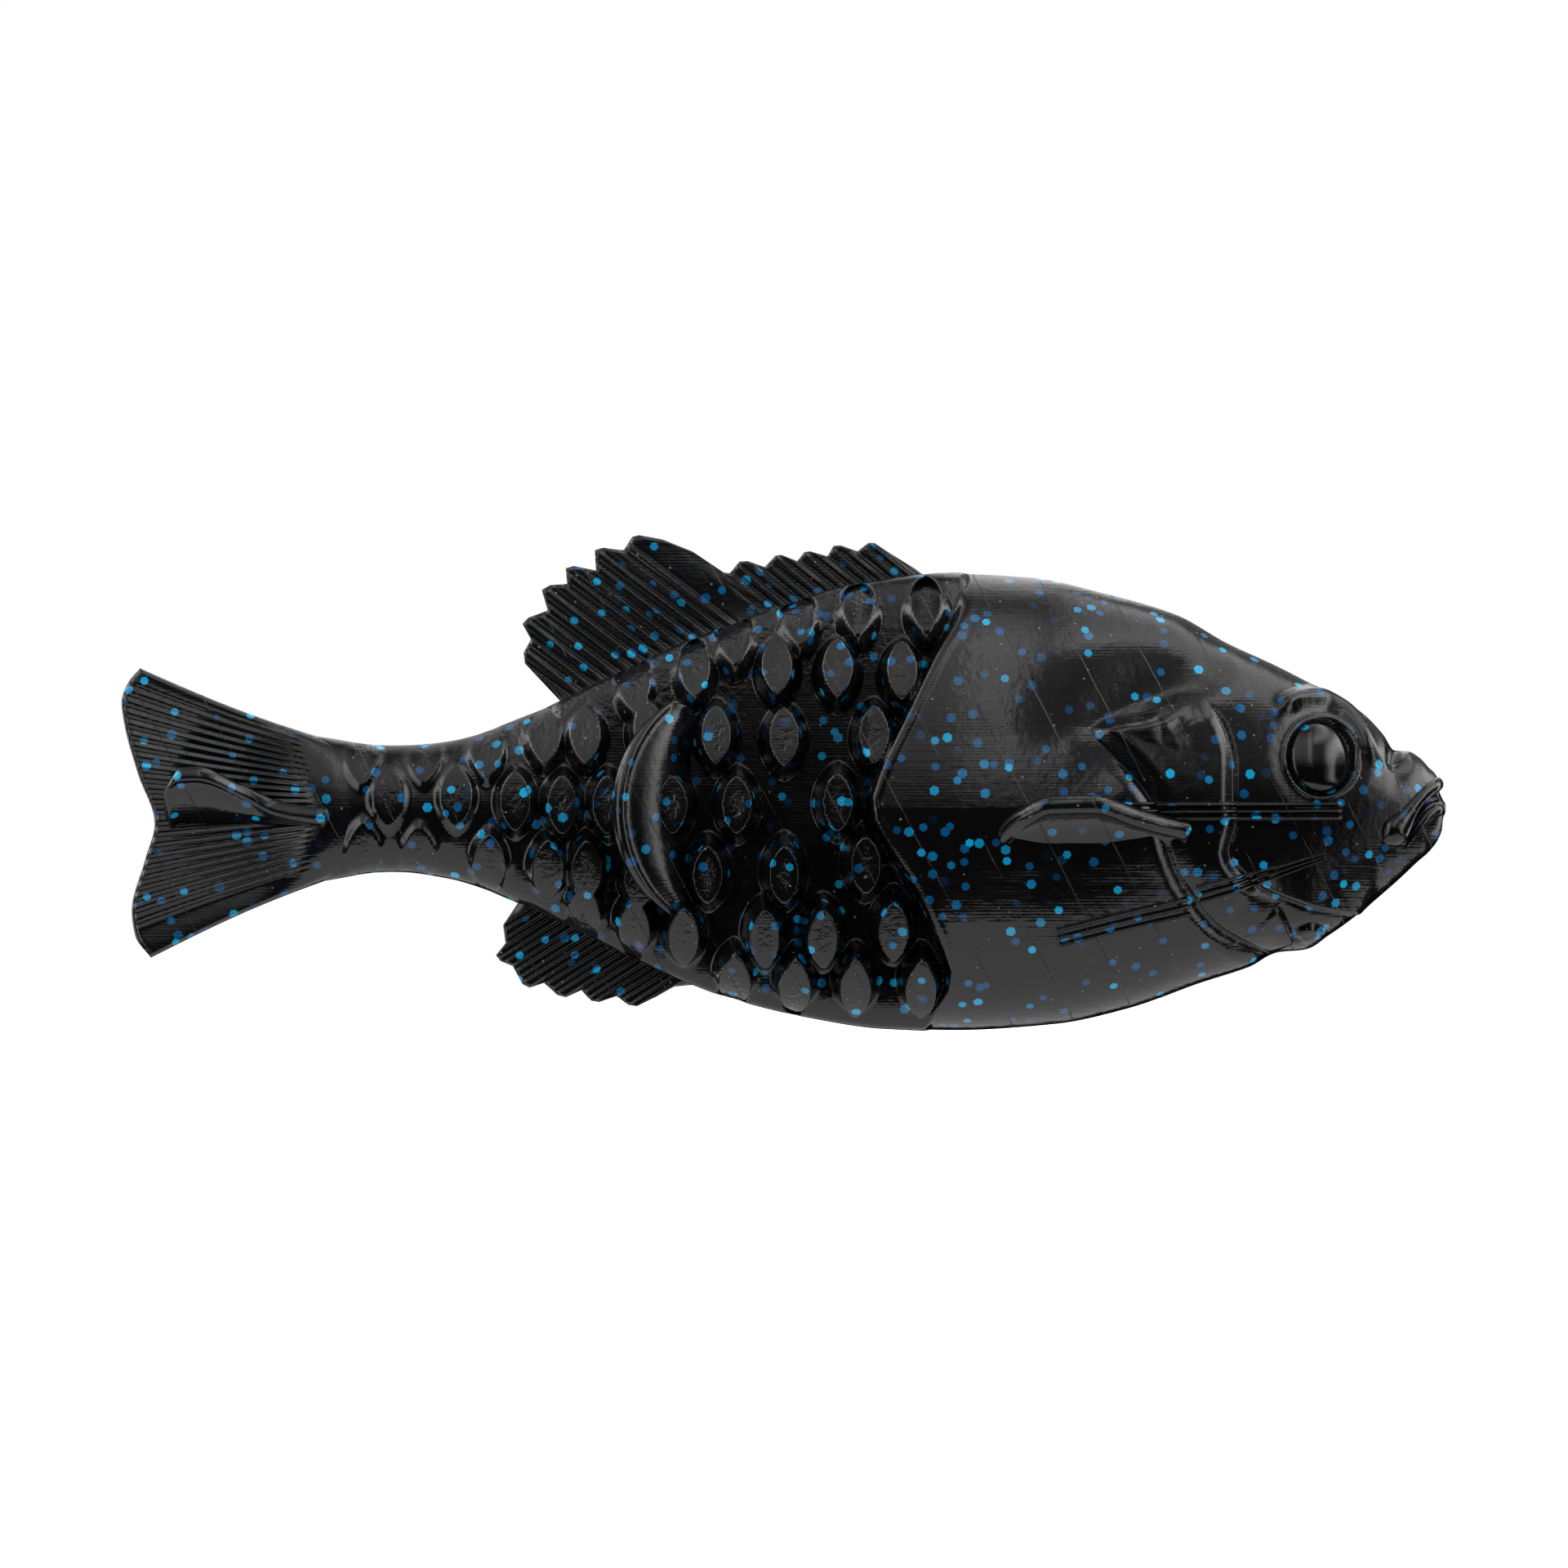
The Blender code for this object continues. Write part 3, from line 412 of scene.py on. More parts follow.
# Each stretch of skin from nose to tail: its name, the joint that it bends over, and the solids it covers
SKIN_PIECES = [
    ("head_skin", None, ["front_body", "gill_cover_left", "gill_cover_right"]),
    ("shoulder_skin", "shoulder_bend", ["fore_core"]),
    ("middle_skin", "middle_bend", ["aft_core"]),
    ("rear_skin", "stem_bend", ["tail_stem"]),
    ("tail_root_skin", "tail_kick", []),
]
skin_pieces = []
for k, (name, joint_name, nodes) in enumerate(SKIN_PIECES):
    piece = skin_piece(name, seam_rows[k], seam_rows[k + 1])
    if joint_name:
        flex_over(piece)
    else:
        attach(piece, "front")
    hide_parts(*nodes)
    skin_pieces.append(piece)


# The plastic's finish: glitter set in the black, and the marks that the mould's cutter left


def add_node(tree, kind, inputs=None, **settings):
    """A node with its settings, and with its inputs set or linked."""
    made = tree.nodes.new(kind)
    for name, value in settings.items():
        setattr(made, name, value)
    for name, value in (inputs or {}).items():
        if isinstance(value, bpy.types.NodeSocket):
            tree.links.new(value, made.inputs[name])
        else:
            made.inputs[name].default_value = value
    return made


def maths(tree, operation, *values, clamp=False):
    inputs = dict(enumerate(values))
    return add_node(tree, "ShaderNodeMath", inputs, operation=operation, use_clamp=clamp).outputs[0]


def opposite(tree, share):
    return maths(tree, "SUBTRACT", 1.0, share)


def vectors(tree, operation, *values):
    made = add_node(tree, "ShaderNodeVectorMath", dict(enumerate(values)), operation=operation)
    return made.outputs["Value" if operation == "DOT_PRODUCT" else "Vector"]


def smooth_step(tree, value, low, high):
    inputs = {"Value": value, "From Min": low, "From Max": high}
    made = add_node(tree, "ShaderNodeMapRange", inputs, interpolation_type="SMOOTHSTEP")
    return made.outputs["Result"]


def blend_colours(tree, share, first, second):
    inputs = {0: share, 6: first, 7: second}
    return add_node(tree, "ShaderNodeMix", inputs, data_type="RGBA").outputs[2]


def noise(tree, place, scale, detail):
    inputs = {"Vector": place, "Scale": scale, "Detail": detail}
    return add_node(tree, "ShaderNodeTexNoise", inputs).outputs["Fac"]


def new_group(name, inputs, outputs):
    """A node group with named inputs (name, kind, value) and outputs (name, kind)."""
    tree = bpy.data.node_groups.new(name, "ShaderNodeTree")
    for label, kind, value in inputs:
        socket = tree.interface.new_socket(label, in_out="INPUT", socket_type="NodeSocket" + kind)
        socket.default_value = value
    for label, kind in outputs:
        tree.interface.new_socket(label, in_out="OUTPUT", socket_type="NodeSocket" + kind)
    return tree, tree.nodes.new("NodeGroupInput").outputs, tree.nodes.new("NodeGroupOutput").inputs


def glitter_group():
    """Hexagonal flakes that lie along the skin. Flakes near the surface are bright, deeper ones dim."""
    tree, given, result = new_group(
        "glitter_flakes",
        [
            ("Spacing", "Float", 0.0022),
            ("Half Width", "Float", 0.00038),
            ("Depth", "Float", 0.00042),
            ("Start", "Vector", (0, 0, 0)),
        ],
        [("Mask", "Float"), ("Colour", "Color")],
    )
    place = add_node(tree, "ShaderNodeAttribute", attribute_name="mould_place").outputs["Vector"]
    facing = add_node(tree, "ShaderNodeAttribute", attribute_name="mould_normal").outputs["Vector"]
    place = vectors(tree, "ADD", place, given["Start"])
    closeness = maths(tree, "DIVIDE", 1.0, given["Spacing"])
    inputs = {"Vector": place, "Scale": closeness, "Randomness": 0.82}
    cells = add_node(tree, "ShaderNodeTexVoronoi", inputs, voronoi_dimensions="3D", feature="F1")
    offset = vectors(tree, "SUBTRACT", place, cells.outputs["Position"])
    chance = vectors(tree, "SUBTRACT", cells.outputs["Color"], (0.5, 0.5, 0.5))
    along = vectors(tree, "NORMALIZE", vectors(tree, "CROSS_PRODUCT", facing, chance))
    across = vectors(tree, "CROSS_PRODUCT", facing, along)
    u = maths(tree, "ABSOLUTE", vectors(tree, "DOT_PRODUCT", offset, along))
    v = maths(tree, "ABSOLUTE", vectors(tree, "DOT_PRODUCT", offset, across))
    slanted = maths(tree, "ADD", maths(tree, "MULTIPLY", u, 0.5), maths(tree, "MULTIPLY", v, 0.866))
    hexagon = maths(tree, "MAXIMUM", u, slanted)
    size = maths(tree, "MULTIPLY", given["Half Width"], 0.86)
    flake = opposite(tree, smooth_step(tree, hexagon, size, given["Half Width"]))
    deep = maths(tree, "ABSOLUTE", vectors(tree, "DOT_PRODUCT", offset, facing))
    share = maths(tree, "DIVIDE", deep, given["Depth"], clamp=True)
    seen = opposite(tree, smooth_step(tree, share, 0.55, 1.0))
    tree.links.new(maths(tree, "MULTIPLY", flake, seen), result["Mask"])
    ramp = add_node(tree, "ShaderNodeValToRGB", {"Fac": share})
    ramp.color_ramp.elements[0].color = (0.003, 0.45, 0.80, 1)
    ramp.color_ramp.elements[1].color = (0.002, 0.016, 0.055, 1)
    for level, shade in ((0.14, (0.006, 0.30, 0.55, 1)), (0.4, (0.003, 0.09, 0.24, 1))):
        ramp.color_ramp.elements.new(level).color = shade
    tree.links.new(ramp.outputs["Color"], result["Colour"])
    return tree


def marks_group():
    """Marks of the mould: fine level cutter lines, slanting witness lines and small pits."""
    tree, given, result = new_group(
        "mould_marks",
        [
            ("Line Pitch", "Float", 0.00026),
            ("Witness Spacing", "Float", 0.0053),
            ("Pit Size", "Float", 0.0009),
        ],
        [("Height", "Float"), ("Specks", "Float"), ("Gloss Change", "Float")],
    )
    place = add_node(tree, "ShaderNodeAttribute", attribute_name="mould_place").outputs["Vector"]
    split = add_node(tree, "ShaderNodeSeparateXYZ", {"Vector": place}).outputs
    patches = noise(tree, place, 160.0, 3.0)
    streaks = noise(tree, vectors(tree, "MULTIPLY", place, (0.06, 0.06, 1.0)), 3800.0, 2.0)
    turns = maths(tree, "MULTIPLY", maths(tree, "DIVIDE", split["Z"], given["Line Pitch"]), 2 * pi)
    lines = maths(tree, "MULTIPLY", maths(tree, "SINE", turns), 0.1)
    strokes = maths(tree, "MULTIPLY_ADD", streaks, 1.1, lines)
    fine = maths(tree, "MULTIPLY", strokes, smooth_step(tree, patches, 0.3, 0.65))
    orange_peel = noise(tree, place, 1300.0, 2.5)
    fine = maths(tree, "MULTIPLY_ADD", orange_peel, 1.5, fine)
    grainy = add_node(tree, "ShaderNodeAttribute", attribute_name="coarse_grain").outputs["Fac"]
    grain = maths(tree, "MULTIPLY", noise(tree, place, 2200.0, 3.0), grainy)
    fine = maths(tree, "ADD", fine, maths(tree, "MULTIPLY", grain, 8.0))
    slant = maths(tree, "ADD", split["X"], maths(tree, "MULTIPLY", split["Z"], 0.5146))
    wobble = maths(tree, "MULTIPLY", patches, 0.0004)
    cycle = maths(tree, "DIVIDE", maths(tree, "ADD", slant, wobble), given["Witness Spacing"])
    off = maths(tree, "ABSOLUTE", maths(tree, "SUBTRACT", maths(tree, "FRACT", cycle), 0.5))
    witness = opposite(tree, smooth_step(tree, off, 0.004, 0.012))
    worn = noise(tree, place, 70.0, 4.0)
    witness = maths(tree, "MULTIPLY", witness, smooth_step(tree, worn, 0.42, 0.58))
    closeness = maths(tree, "DIVIDE", 1.0, given["Pit Size"])
    inputs = {"Vector": place, "Scale": closeness, "Randomness": 1.0}
    pits = add_node(tree, "ShaderNodeTexVoronoi", inputs)
    pit = opposite(tree, smooth_step(tree, pits.outputs["Distance"], 0.05, 0.12))
    shade = add_node(tree, "ShaderNodeSeparateColor", {"Color": pits.outputs["Color"]}).outputs
    some = maths(tree, "GREATER_THAN", shade["Red"], 0.3)
    pit = maths(tree, "MULTIPLY", pit, some)
    height = maths(tree, "SUBTRACT", fine, maths(tree, "MULTIPLY", witness, 2.5))
    height = maths(tree, "SUBTRACT", height, maths(tree, "MULTIPLY", pit, 1.2))
    tree.links.new(height, result["Height"])
    light = maths(tree, "GREATER_THAN", shade["Green"], 0.45)
    tree.links.new(maths(tree, "MULTIPLY", pit, light), result["Specks"])
    tree.links.new(maths(tree, "SUBTRACT", patches, 0.5), result["Gloss Change"])
    return tree


GLITTER = glitter_group()
MARKS = marks_group()
MARK_DEPTH = 0.00002


def soft_plastic(name, colour, roughness, spacing, marks):
    """Glossy soft plastic: near-black, with two scatterings of blue flakes and the mould's marks."""
    made = bpy.data.materials.new(name)
    made.use_nodes = True
    tree = made.node_tree
    shader = tree.nodes["Principled BSDF"]
    shader.inputs["IOR"].default_value = 1.5
    mould = add_node(tree, "ShaderNodeGroup", node_tree=MARKS)
    base = blend_colours(tree, mould.outputs["Specks"], (*colour, 1), (0.2, 0.23, 0.25, 1))
    dull = add_node(tree, "ShaderNodeAttribute", attribute_name="dull").outputs["Fac"]
    dull = maths(tree, "MULTIPLY_ADD", dull, 0.03, roughness)
    gloss = maths(tree, "MULTIPLY_ADD", mould.outputs["Gloss Change"], 0.25, dull, clamp=True)
    scatterings = [((0, 0, 0), 0.0004, spacing), ((0.0131, 0.0071, 0.0177), 0.00034, spacing * 0.9)]
    for start, half_width, gap in scatterings:
        inputs = {"Spacing": gap, "Half Width": half_width, "Start": start}
        flakes = add_node(tree, "ShaderNodeGroup", inputs, node_tree=GLITTER)
        base = blend_colours(tree, flakes.outputs["Mask"], base, flakes.outputs["Colour"])
    tree.links.new(base, shader.inputs["Base Color"])
    tree.links.new(gloss, shader.inputs["Roughness"])
    inputs = {"Height": mould.outputs["Height"], "Strength": 1.0, "Distance": MARK_DEPTH * marks}
    bump = add_node(tree, "ShaderNodeBump", inputs)
    tree.links.new(bump.outputs["Normal"], shader.inputs["Normal"])
    return made


BLACK_PLASTIC = soft_plastic(
    "glittered_black_plastic", colour=(0.005, 0.005, 0.0055), roughness=0.14, spacing=0.0022, marks=1.0
)
for piece in skin_pieces:
    piece.data.materials.append(BLACK_PLASTIC)


# ---- Lips ----
# Two round beads frame the mouth, each running right round the snout. The upper one swells into a bulb at
# both corners, and the lower one fades into the jaw. They are part of the same pour.


def skin_sample(x, z, side):
    """Skin points and normals at places (x, z) of one flank, from the nearest points of the grid."""
    x, z = np.asarray(x, float), np.asarray(z, float)
    row = np.interp(-x, -rows, np.arange(len(rows)))
    found = np.zeros(x.shape + (3,))
    facing = np.zeros(x.shape + (3,))
    quarter = GIRTH_STEPS // 4
    columns = np.arange(-quarter, quarter + 1) if side > 0 else np.arange(3 * quarter, quarter - 1, -1)
    for place in np.ndindex(x.shape):
        i = int(min(row[place], len(rows) - 2))
        part = row[place] - i
        for target, source in ((found, skin), (facing, skin_normals)):
            line = source[i, columns] * (1 - part) + source[i + 1, columns] * part
            heights = skin[i, columns, 2] * (1 - part) + skin[i + 1, columns, 2] * part
            heights = np.maximum.accumulate(heights) + np.arange(len(columns)) * 1e-7
            target[place] = [np.interp(z[place], heights, line[:, k]) for k in range(3)]
    return found, facing / np.linalg.norm(facing, axis=-1, keepdims=True)


def mesh_areas(mesh):
    """Each face's normal, as long as the face's area."""
    normals = np.zeros(len(mesh.polygons) * 3)
    areas = np.zeros(len(mesh.polygons))
    mesh.polygons.foreach_get("normal", normals)
    mesh.polygons.foreach_get("area", areas)
    return normals.reshape(-1, 3) * areas[:, None]


def mesh_centres(mesh):
    """Each face's middle."""
    centres = np.zeros(len(mesh.polygons) * 3)
    mesh.polygons.foreach_get("center", centres)
    return centres.reshape(-1, 3)


def closed_mesh(name, points, faces):
    """A smooth mesh of the given points, in millimetres, turned so that its faces look outwards."""
    points = np.asarray(points) * MM
    mesh = bpy.data.meshes.new(name)
    mesh.from_pydata(points.tolist(), [], faces)
    mesh.update()
    mesh.shade_smooth()
    signed = np.einsum("ij,ij->i", mesh_areas(mesh), mesh_centres(mesh) - points.mean(0)).sum()
    if signed < 0:
        mesh.flip_normals()
    keep_mould_place(mesh)
    made = bpy.data.objects.new(name, mesh)
    bpy.context.scene.collection.objects.link(made)
    return made


# Each bead's path down one side: (x, height z, radius), starting at the middle of the snout
LIPS = {
    "upper_lip_bead": [
        (-0.68, 2.05, 0.56), (-0.95, 1.85, 0.56), (-1.6, 1.45, 0.56), (-2.5, 0.6, 0.58),
        (-3.3, -0.45, 0.75), (-3.9, -1.25, 1.05), (-4.4, -1.85, 1.25), (-4.9, -2.35, 1.0),
        (-5.4, -2.8, 0.3),
    ],
    "lower_lip_bead": [
        (-0.62, -0.1, 0.58), (-0.85, -0.2, 0.58), (-1.4, -0.5, 0.56), (-2.1, -1.2, 0.52),
        (-2.9, -2.3, 0.42), (-3.7, -3.5, 0.2),
    ],
}
BEAD_STEPS, BEAD_SIDES = 120, 32
MOUTH_MIDDLE = (-6.5, 0, -0.5)
NOSE_CLEARANCE = 0.04
for name, stations in LIPS.items():
    stations = np.array(stations)
    flank_y = skin_sample(stations[:, 0], stations[:, 1], 1)[0][:, 1]
    flank_y[0] = 0.0
    half_way = np.stack([stations[:, 0], stations[:, 1], flank_y - 0.1, stations[:, 2]], axis=1)
    half_way[0, 2] = 0.0
    # The whole bead runs from one corner of the mouth, over the middle of the snout, to the other corner
    mirrored = half_way[:0:-1] * (1, 1, -1, 1)
    stations = np.concatenate([mirrored, half_way])
    along = np.linspace(0, 1, len(stations))
    where = np.linspace(0, 1, BEAD_STEPS + 1)
    x, z, y, radius = [through(list(zip(along, stations[:, k])), where) for k in range(4)]
    route = np.stack([x, y, z], axis=1)
    for _ in range(6):
        route[1:-1] = (route[:-2] + route[1:-1] * 2 + route[2:]) / 4
    heading = np.gradient(route, axis=0)
    heading /= np.linalg.norm(heading, axis=1, keepdims=True)
    outward = route - MOUTH_MIDDLE
    outward -= heading * np.einsum("ij,ij->i", outward, heading)[:, None]
    outward /= np.linalg.norm(outward, axis=1, keepdims=True)
    sideways = np.cross(heading, outward)
    around = np.arange(BEAD_SIDES) * 2 * pi / BEAD_SIDES
    bead = route[:, None] + radius[:, None, None] * (
        np.cos(around)[:, None] * sideways[:, None] + 0.85 * np.sin(around)[:, None] * outward[:, None]
    )
    points = np.concatenate([bead.reshape(-1, 3), [route[0], route[-1]]])
    faces = []
    last_ring = BEAD_STEPS * BEAD_SIDES
    for j in range(BEAD_SIDES):
        n = (j + 1) % BEAD_SIDES
        for ring in range(0, last_ring, BEAD_SIDES):
            faces.append((ring + j, ring + n, ring + BEAD_SIDES + n, ring + BEAD_SIDES + j))
        faces.append((len(points) - 2, n, j))
        faces.append((len(points) - 1, last_ring + j, last_ring + n))
    points[:, 0] = np.minimum(points[:, 0], -NOSE_CLEARANCE)
    piece = closed_mesh(name, points, faces)
    piece.data.materials.append(BLACK_PLASTIC)
    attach(piece, "front")
    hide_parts(name.removesuffix("_bead"))


# ---- Ridged strips on the cheek and the gill cover ----
# Three fine round ridges side by side, engraved in the mould: one level strip along the lateral line and
# two slanting ones under it. They stand less than half a millimetre out of the skin, in the same pour.

# Each strip's line, as (x, height z), and its half width at both ends
STRIPS = {
    "lateral_strip": ([(-34.3, -0.25), (-21.0, -0.25), (-8.8, -0.25)], 0.85, 0.85),
    "belly_strip": ([(-32.6, -10.7), (-27.0, -9.3), (-21.6, -8.05)], 0.95, 0.95),
    "throat_strip": ([(-20.9, -7.1), (-15.5, -5.6), (-10.2, -3.9)], 0.9, 0.35),
}
RIDGE_HEIGHT = 0.5
RIDGE_SINK = 0.1
STRIP_THICKNESS = 0.5


def closed_sheet(name, outer, inner):
    """A closed mesh between an outer and an inner grid of points, given in millimetres."""
    across, along = outer.shape[:2]
    points = np.concatenate([outer.reshape(-1, 3), inner.reshape(-1, 3)])
    back_side = across * along
    faces = []
    for i in range(across - 1):
        for j in range(along - 1):
            a, b = i * along + j, (i + 1) * along + j
            faces.append((a, b, b + 1, a + 1))
            faces.append((a + back_side, a + 1 + back_side, b + 1 + back_side, b + back_side))
    rim = [(i, 0) for i in range(across)] + [(across - 1, j) for j in range(1, along)]
    rim += [(i, along - 1) for i in range(across - 2, -1, -1)] + [(0, j) for j in range(along - 2, 0, -1)]
    for (i, j), (m, n) in zip(rim, rim[1:] + rim[:1]):
        a, b = i * along + j, m * along + n
        faces.append((b, a, a + back_side, b + back_side))
    return closed_mesh(name, points, faces)


SIDES = {"right": -1, "left": 1}
for strip, (line, start_half, end_half) in STRIPS.items():
    route = smooth_line(line, 90)
    heading = np.gradient(route, axis=0)
    heading /= np.linalg.norm(heading, axis=1, keepdims=True)
    over = np.linspace(-1, 1, 31)
    half = np.linspace(start_half, end_half, len(route))
    strip_x = route[:, 0, None] - heading[:, 1, None] * over * half[:, None]
    strip_z = route[:, 1, None] + heading[:, 0, None] * over * half[:, None]
    ridges = RIDGE_HEIGHT * (0.5 + 0.5 * np.cos(3 * pi * over)) ** 0.8 - RIDGE_SINK
    ridges = np.tile(ridges, (len(route), 1)) * np.clip(half[:, None] / 0.8, 0, 1)
    ridges[0], ridges[-1] = -0.15, -0.15
    for side_name, side in SIDES.items():
        ground, facing = skin_sample(strip_x, strip_z, side)
        settled = ground.copy()
        for _ in range(4):
            settled[1:-1] = (settled[:-2] + settled[1:-1] + settled[2:]) / 3
        outer = settled + facing * ridges[..., None]
        piece = closed_sheet(f"{strip}_{side_name}", outer, settled - facing * STRIP_THICKNESS)
        piece.data.materials.append(BLACK_PLASTIC)
        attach(piece, "front")


# ---- Eyes ----
# Each eye is a polished dome of the same pour, in a groove inside a thin raised ring. The mould is
# smoother here than elsewhere, so the dome shines like a drop of ink.

EYE_BULGE = 1.25
EYE_STAND_OFF = 0.7
EYE_SINK = 0.7
EYE_ROOT = 2.0
EYE_PLASTIC = soft_plastic(
    "polished_eye_plastic", colour=(0.004, 0.004, 0.005), roughness=0.11, spacing=0.0031, marks=0.4
)
for side_name, side in SIDES.items():
    centre, facing = skin_sample(np.array([EYE_X]), np.array([EYE_Z]), side)
    facing = Vector(facing[0])
    centre = Vector(centre[0]) + facing * EYE_STAND_OFF
    upright = (Vector((0, 0, 1)) - facing * facing.z).normalized()
    level = upright.cross(facing)
    rings, steps = 44, 96
    radius = np.append(np.linspace(0.02, 1, rings), [1.0])[:, None]
    around = (np.arange(steps) * 2 * pi / steps)[None, :]
    rise = EYE_BULGE * np.clip(1 - radius**2, 0, 1) ** 0.7 - EYE_SINK
    rise[-1] = -EYE_ROOT
    dome = np.array(centre) + (rise + 0 * around)[..., None] * np.array(facing)
    dome += (EYE_WIDE * radius * np.cos(around))[..., None] * np.array(level)
    dome += (EYE_TALL * radius * np.sin(around))[..., None] * np.array(upright)
    poles = [np.array(centre + facing * depth) for depth in (EYE_BULGE - EYE_SINK, -EYE_ROOT)]
    dome_points = np.concatenate([dome.reshape(-1, 3), poles])
    faces = []
    for j in range(steps):
        n = (j + 1) % steps
        for i in range(rings):
            faces.append((i * steps + j, (i + 1) * steps + j, (i + 1) * steps + n, i * steps + n))
        faces.append((len(dome_points) - 2, j, n))
        faces.append((len(dome_points) - 1, rings * steps + n, rings * steps + j))
    piece = closed_mesh(f"eye_dome_{side_name}", dome_points, faces)
    piece.data.materials.append(EYE_PLASTIC)
    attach(piece, "front")
    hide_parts(f"eye_{side_name}")


# ---- Fins on the back and the belly ----
# Thin upright plates in the plane of symmetry, poured with the body. Parallel round rays run across each
# of them at a slant, and end in teeth along the free edge. The front margin of the rear fin is plain.

FIN_PLASTIC = soft_plastic(
    "glittered_fin_plastic", colour=(0.006, 0.0065, 0.0075), roughness=0.15, spacing=0.0023, marks=1.0
)
FIN_HALF_THICKNESS = 0.48
RAY_HEIGHT = 0.26
FIN_SINK = 1.1
FOOT_FLARE, FOOT_HEIGHT = 0.5, 1.2
TIP_THINNING = 0.35
EDGE_ROUNDING = 0.35

# Each fin's free edge as (x, height z), the slant and the pitch of its rays, and its plain front margin
FINS = {
    "spiny_fin": {
        "replaces": "spiny_dorsal", "bodies": ("fore", "spiny"), "joint": "spiny_flex",
        "slant": -39.0, "pitch": 0.86, "plain": 0.0, "body_line": BACK_LINE, "up": 1,
        "edge": [
            (-43.3, 19.3), (-44.1, 19.9), (-46.2, 21.2), (-47.4, 22.0), (-47.9, 22.0), (-48.8, 21.3),
            (-50.2, 21.8), (-50.8, 21.75), (-51.3, 20.9), (-52.7, 21.3), (-53.2, 21.25), (-53.8, 20.5),
            (-55.1, 21.0), (-55.6, 20.95), (-56.5, 20.0), (-57.9, 20.5), (-58.6, 20.45), (-59.4, 19.5),
            (-60.4, 19.6), (-61.2, 19.2),
        ],
    },
    "soft_fin": {
        "replaces": "soft_dorsal", "bodies": ("aft", "soft"), "joint": "soft_flex",
        "slant": -37.0, "pitch": 1.02, "plain": 2.6, "body_line": BACK_LINE, "up": 1,
        "edge": [
            (-55.4, 16.4), (-58.4, 18.5), (-59.9, 19.55), (-62.5, 21.3), (-65.0, 22.3), (-66.9, 22.65),
            (-67.5, 22.5), (-68.2, 21.4), (-69.9, 21.6), (-70.6, 21.4), (-70.5, 19.7), (-72.3, 20.1),
            (-73.0, 19.9), (-72.9, 18.6), (-74.3, 18.5), (-75.0, 18.1), (-74.5, 16.4), (-76.1, 15.8),
            (-76.6, 15.3), (-75.9, 14.0), (-76.5, 12.9), (-76.4, 12.0), (-73.2, 8.6),
        ],
    },
    "belly_fin": {
        "replaces": "anal_fin", "bodies": ("aft", "anal"), "joint": "anal_flex",
        "slant": 32.0, "pitch": 1.12, "plain": 0.0, "body_line": BELLY_LINE, "up": -1,
        "edge": [
            (-61.8, -14.6), (-64.0, -14.8), (-65.6, -15.7), (-67.1, -16.45), (-67.8, -16.35),
            (-68.8, -15.6), (-70.2, -16.1), (-70.9, -16.0), (-71.7, -15.1), (-73.0, -15.7),
            (-73.7, -15.5), (-74.8, -14.5), (-76.0, -14.9), (-76.6, -14.6), (-77.4, -13.1),
            (-78.4, -12.7), (-78.8, -12.2), (-78.0, -11.2), (-78.2, -9.7), (-77.0, -7.9),
        ],
    },
}


def even_points(points, count):
    """Evenly spaced points along straight stretches between the given ones."""
    points = np.array(points, float)
    along = np.concatenate([[0], np.cumsum(np.hypot(*np.diff(points, axis=0).T))])
    where = np.linspace(0, along[-1], count)
    return np.stack([np.interp(where, along, points[:, k]) for k in (0, 1)], axis=1)


for name, fin in FINS.items():
    tips = even_points(fin["edge"], 420)
    down = np.array([cos(radians(fin["slant"])), sin(radians(fin["slant"]))])
    low, high = np.zeros(len(tips)), np.full(len(tips), 30.0)
    # Each ray starts where its line, followed down from the tip, has sunk far enough into the body
    for _ in range(30):
        middle = (low + high) / 2
        x, z = (tips + middle[:, None] * down).T
        inside = fin["up"] * z < through(fin["body_line"], -x) - FIN_SINK
        low, high = np.where(inside, low, middle), np.where(inside, middle, high)
    roots = tips + high[:, None] * down
    share = np.linspace(0, 1, 40)[None, :, None]
    plate = roots[:, None] * (1 - share) + tips[:, None] * share
    reach = np.hypot(*(tips - roots).T)[:, None]
    travel = reach * share[..., 0]
    to_edge = reach - travel
    slant_place = plate[..., 0] * -down[1] + plate[..., 1] * down[0]
    front_place = slant_place.max()
    ray = 0.5 + 0.5 * np.cos(2 * pi * slant_place / fin["pitch"])
    plain = ease(fin["plain"], fin["plain"] + 0.8, front_place - slant_place)
    half = FIN_HALF_THICKNESS + RAY_HEIGHT * (ease(0.1, 0.75, ray) - 0.5) * plain
    half += FOOT_FLARE * np.exp(-travel / FOOT_HEIGHT)
    half *= 1 - TIP_THINNING * ease(0.35, 1.0, share[..., 0])
    rounding = np.clip(to_edge / EDGE_ROUNDING, 0, 1)
    half *= 0.35 + 0.65 * np.sqrt(1 - (1 - rounding) ** 2)
    sheets = [np.stack([plate[..., 0], side * half, plate[..., 1]], axis=-1) for side in (-1, 1)]
    piece = closed_sheet(name, *sheets)
    piece.data.materials.append(FIN_PLASTIC)
    joint = next(j for j in frame["joints"] if j["name"] == fin["joint"])
    axis = Vector(joint["axis"]).normalized()
    away = Vector((-axis.z, 0, axis.x)) * fin["up"]
    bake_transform(piece)
    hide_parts(fin["replaces"])


# ---- Tail fin ----
# The forked tail is poured with the body, and spreads from the stem's end into a thin blade. Fine rays fan
# out over it to the edge, with a plain margin along the top and a wider, thicker one along the bottom.

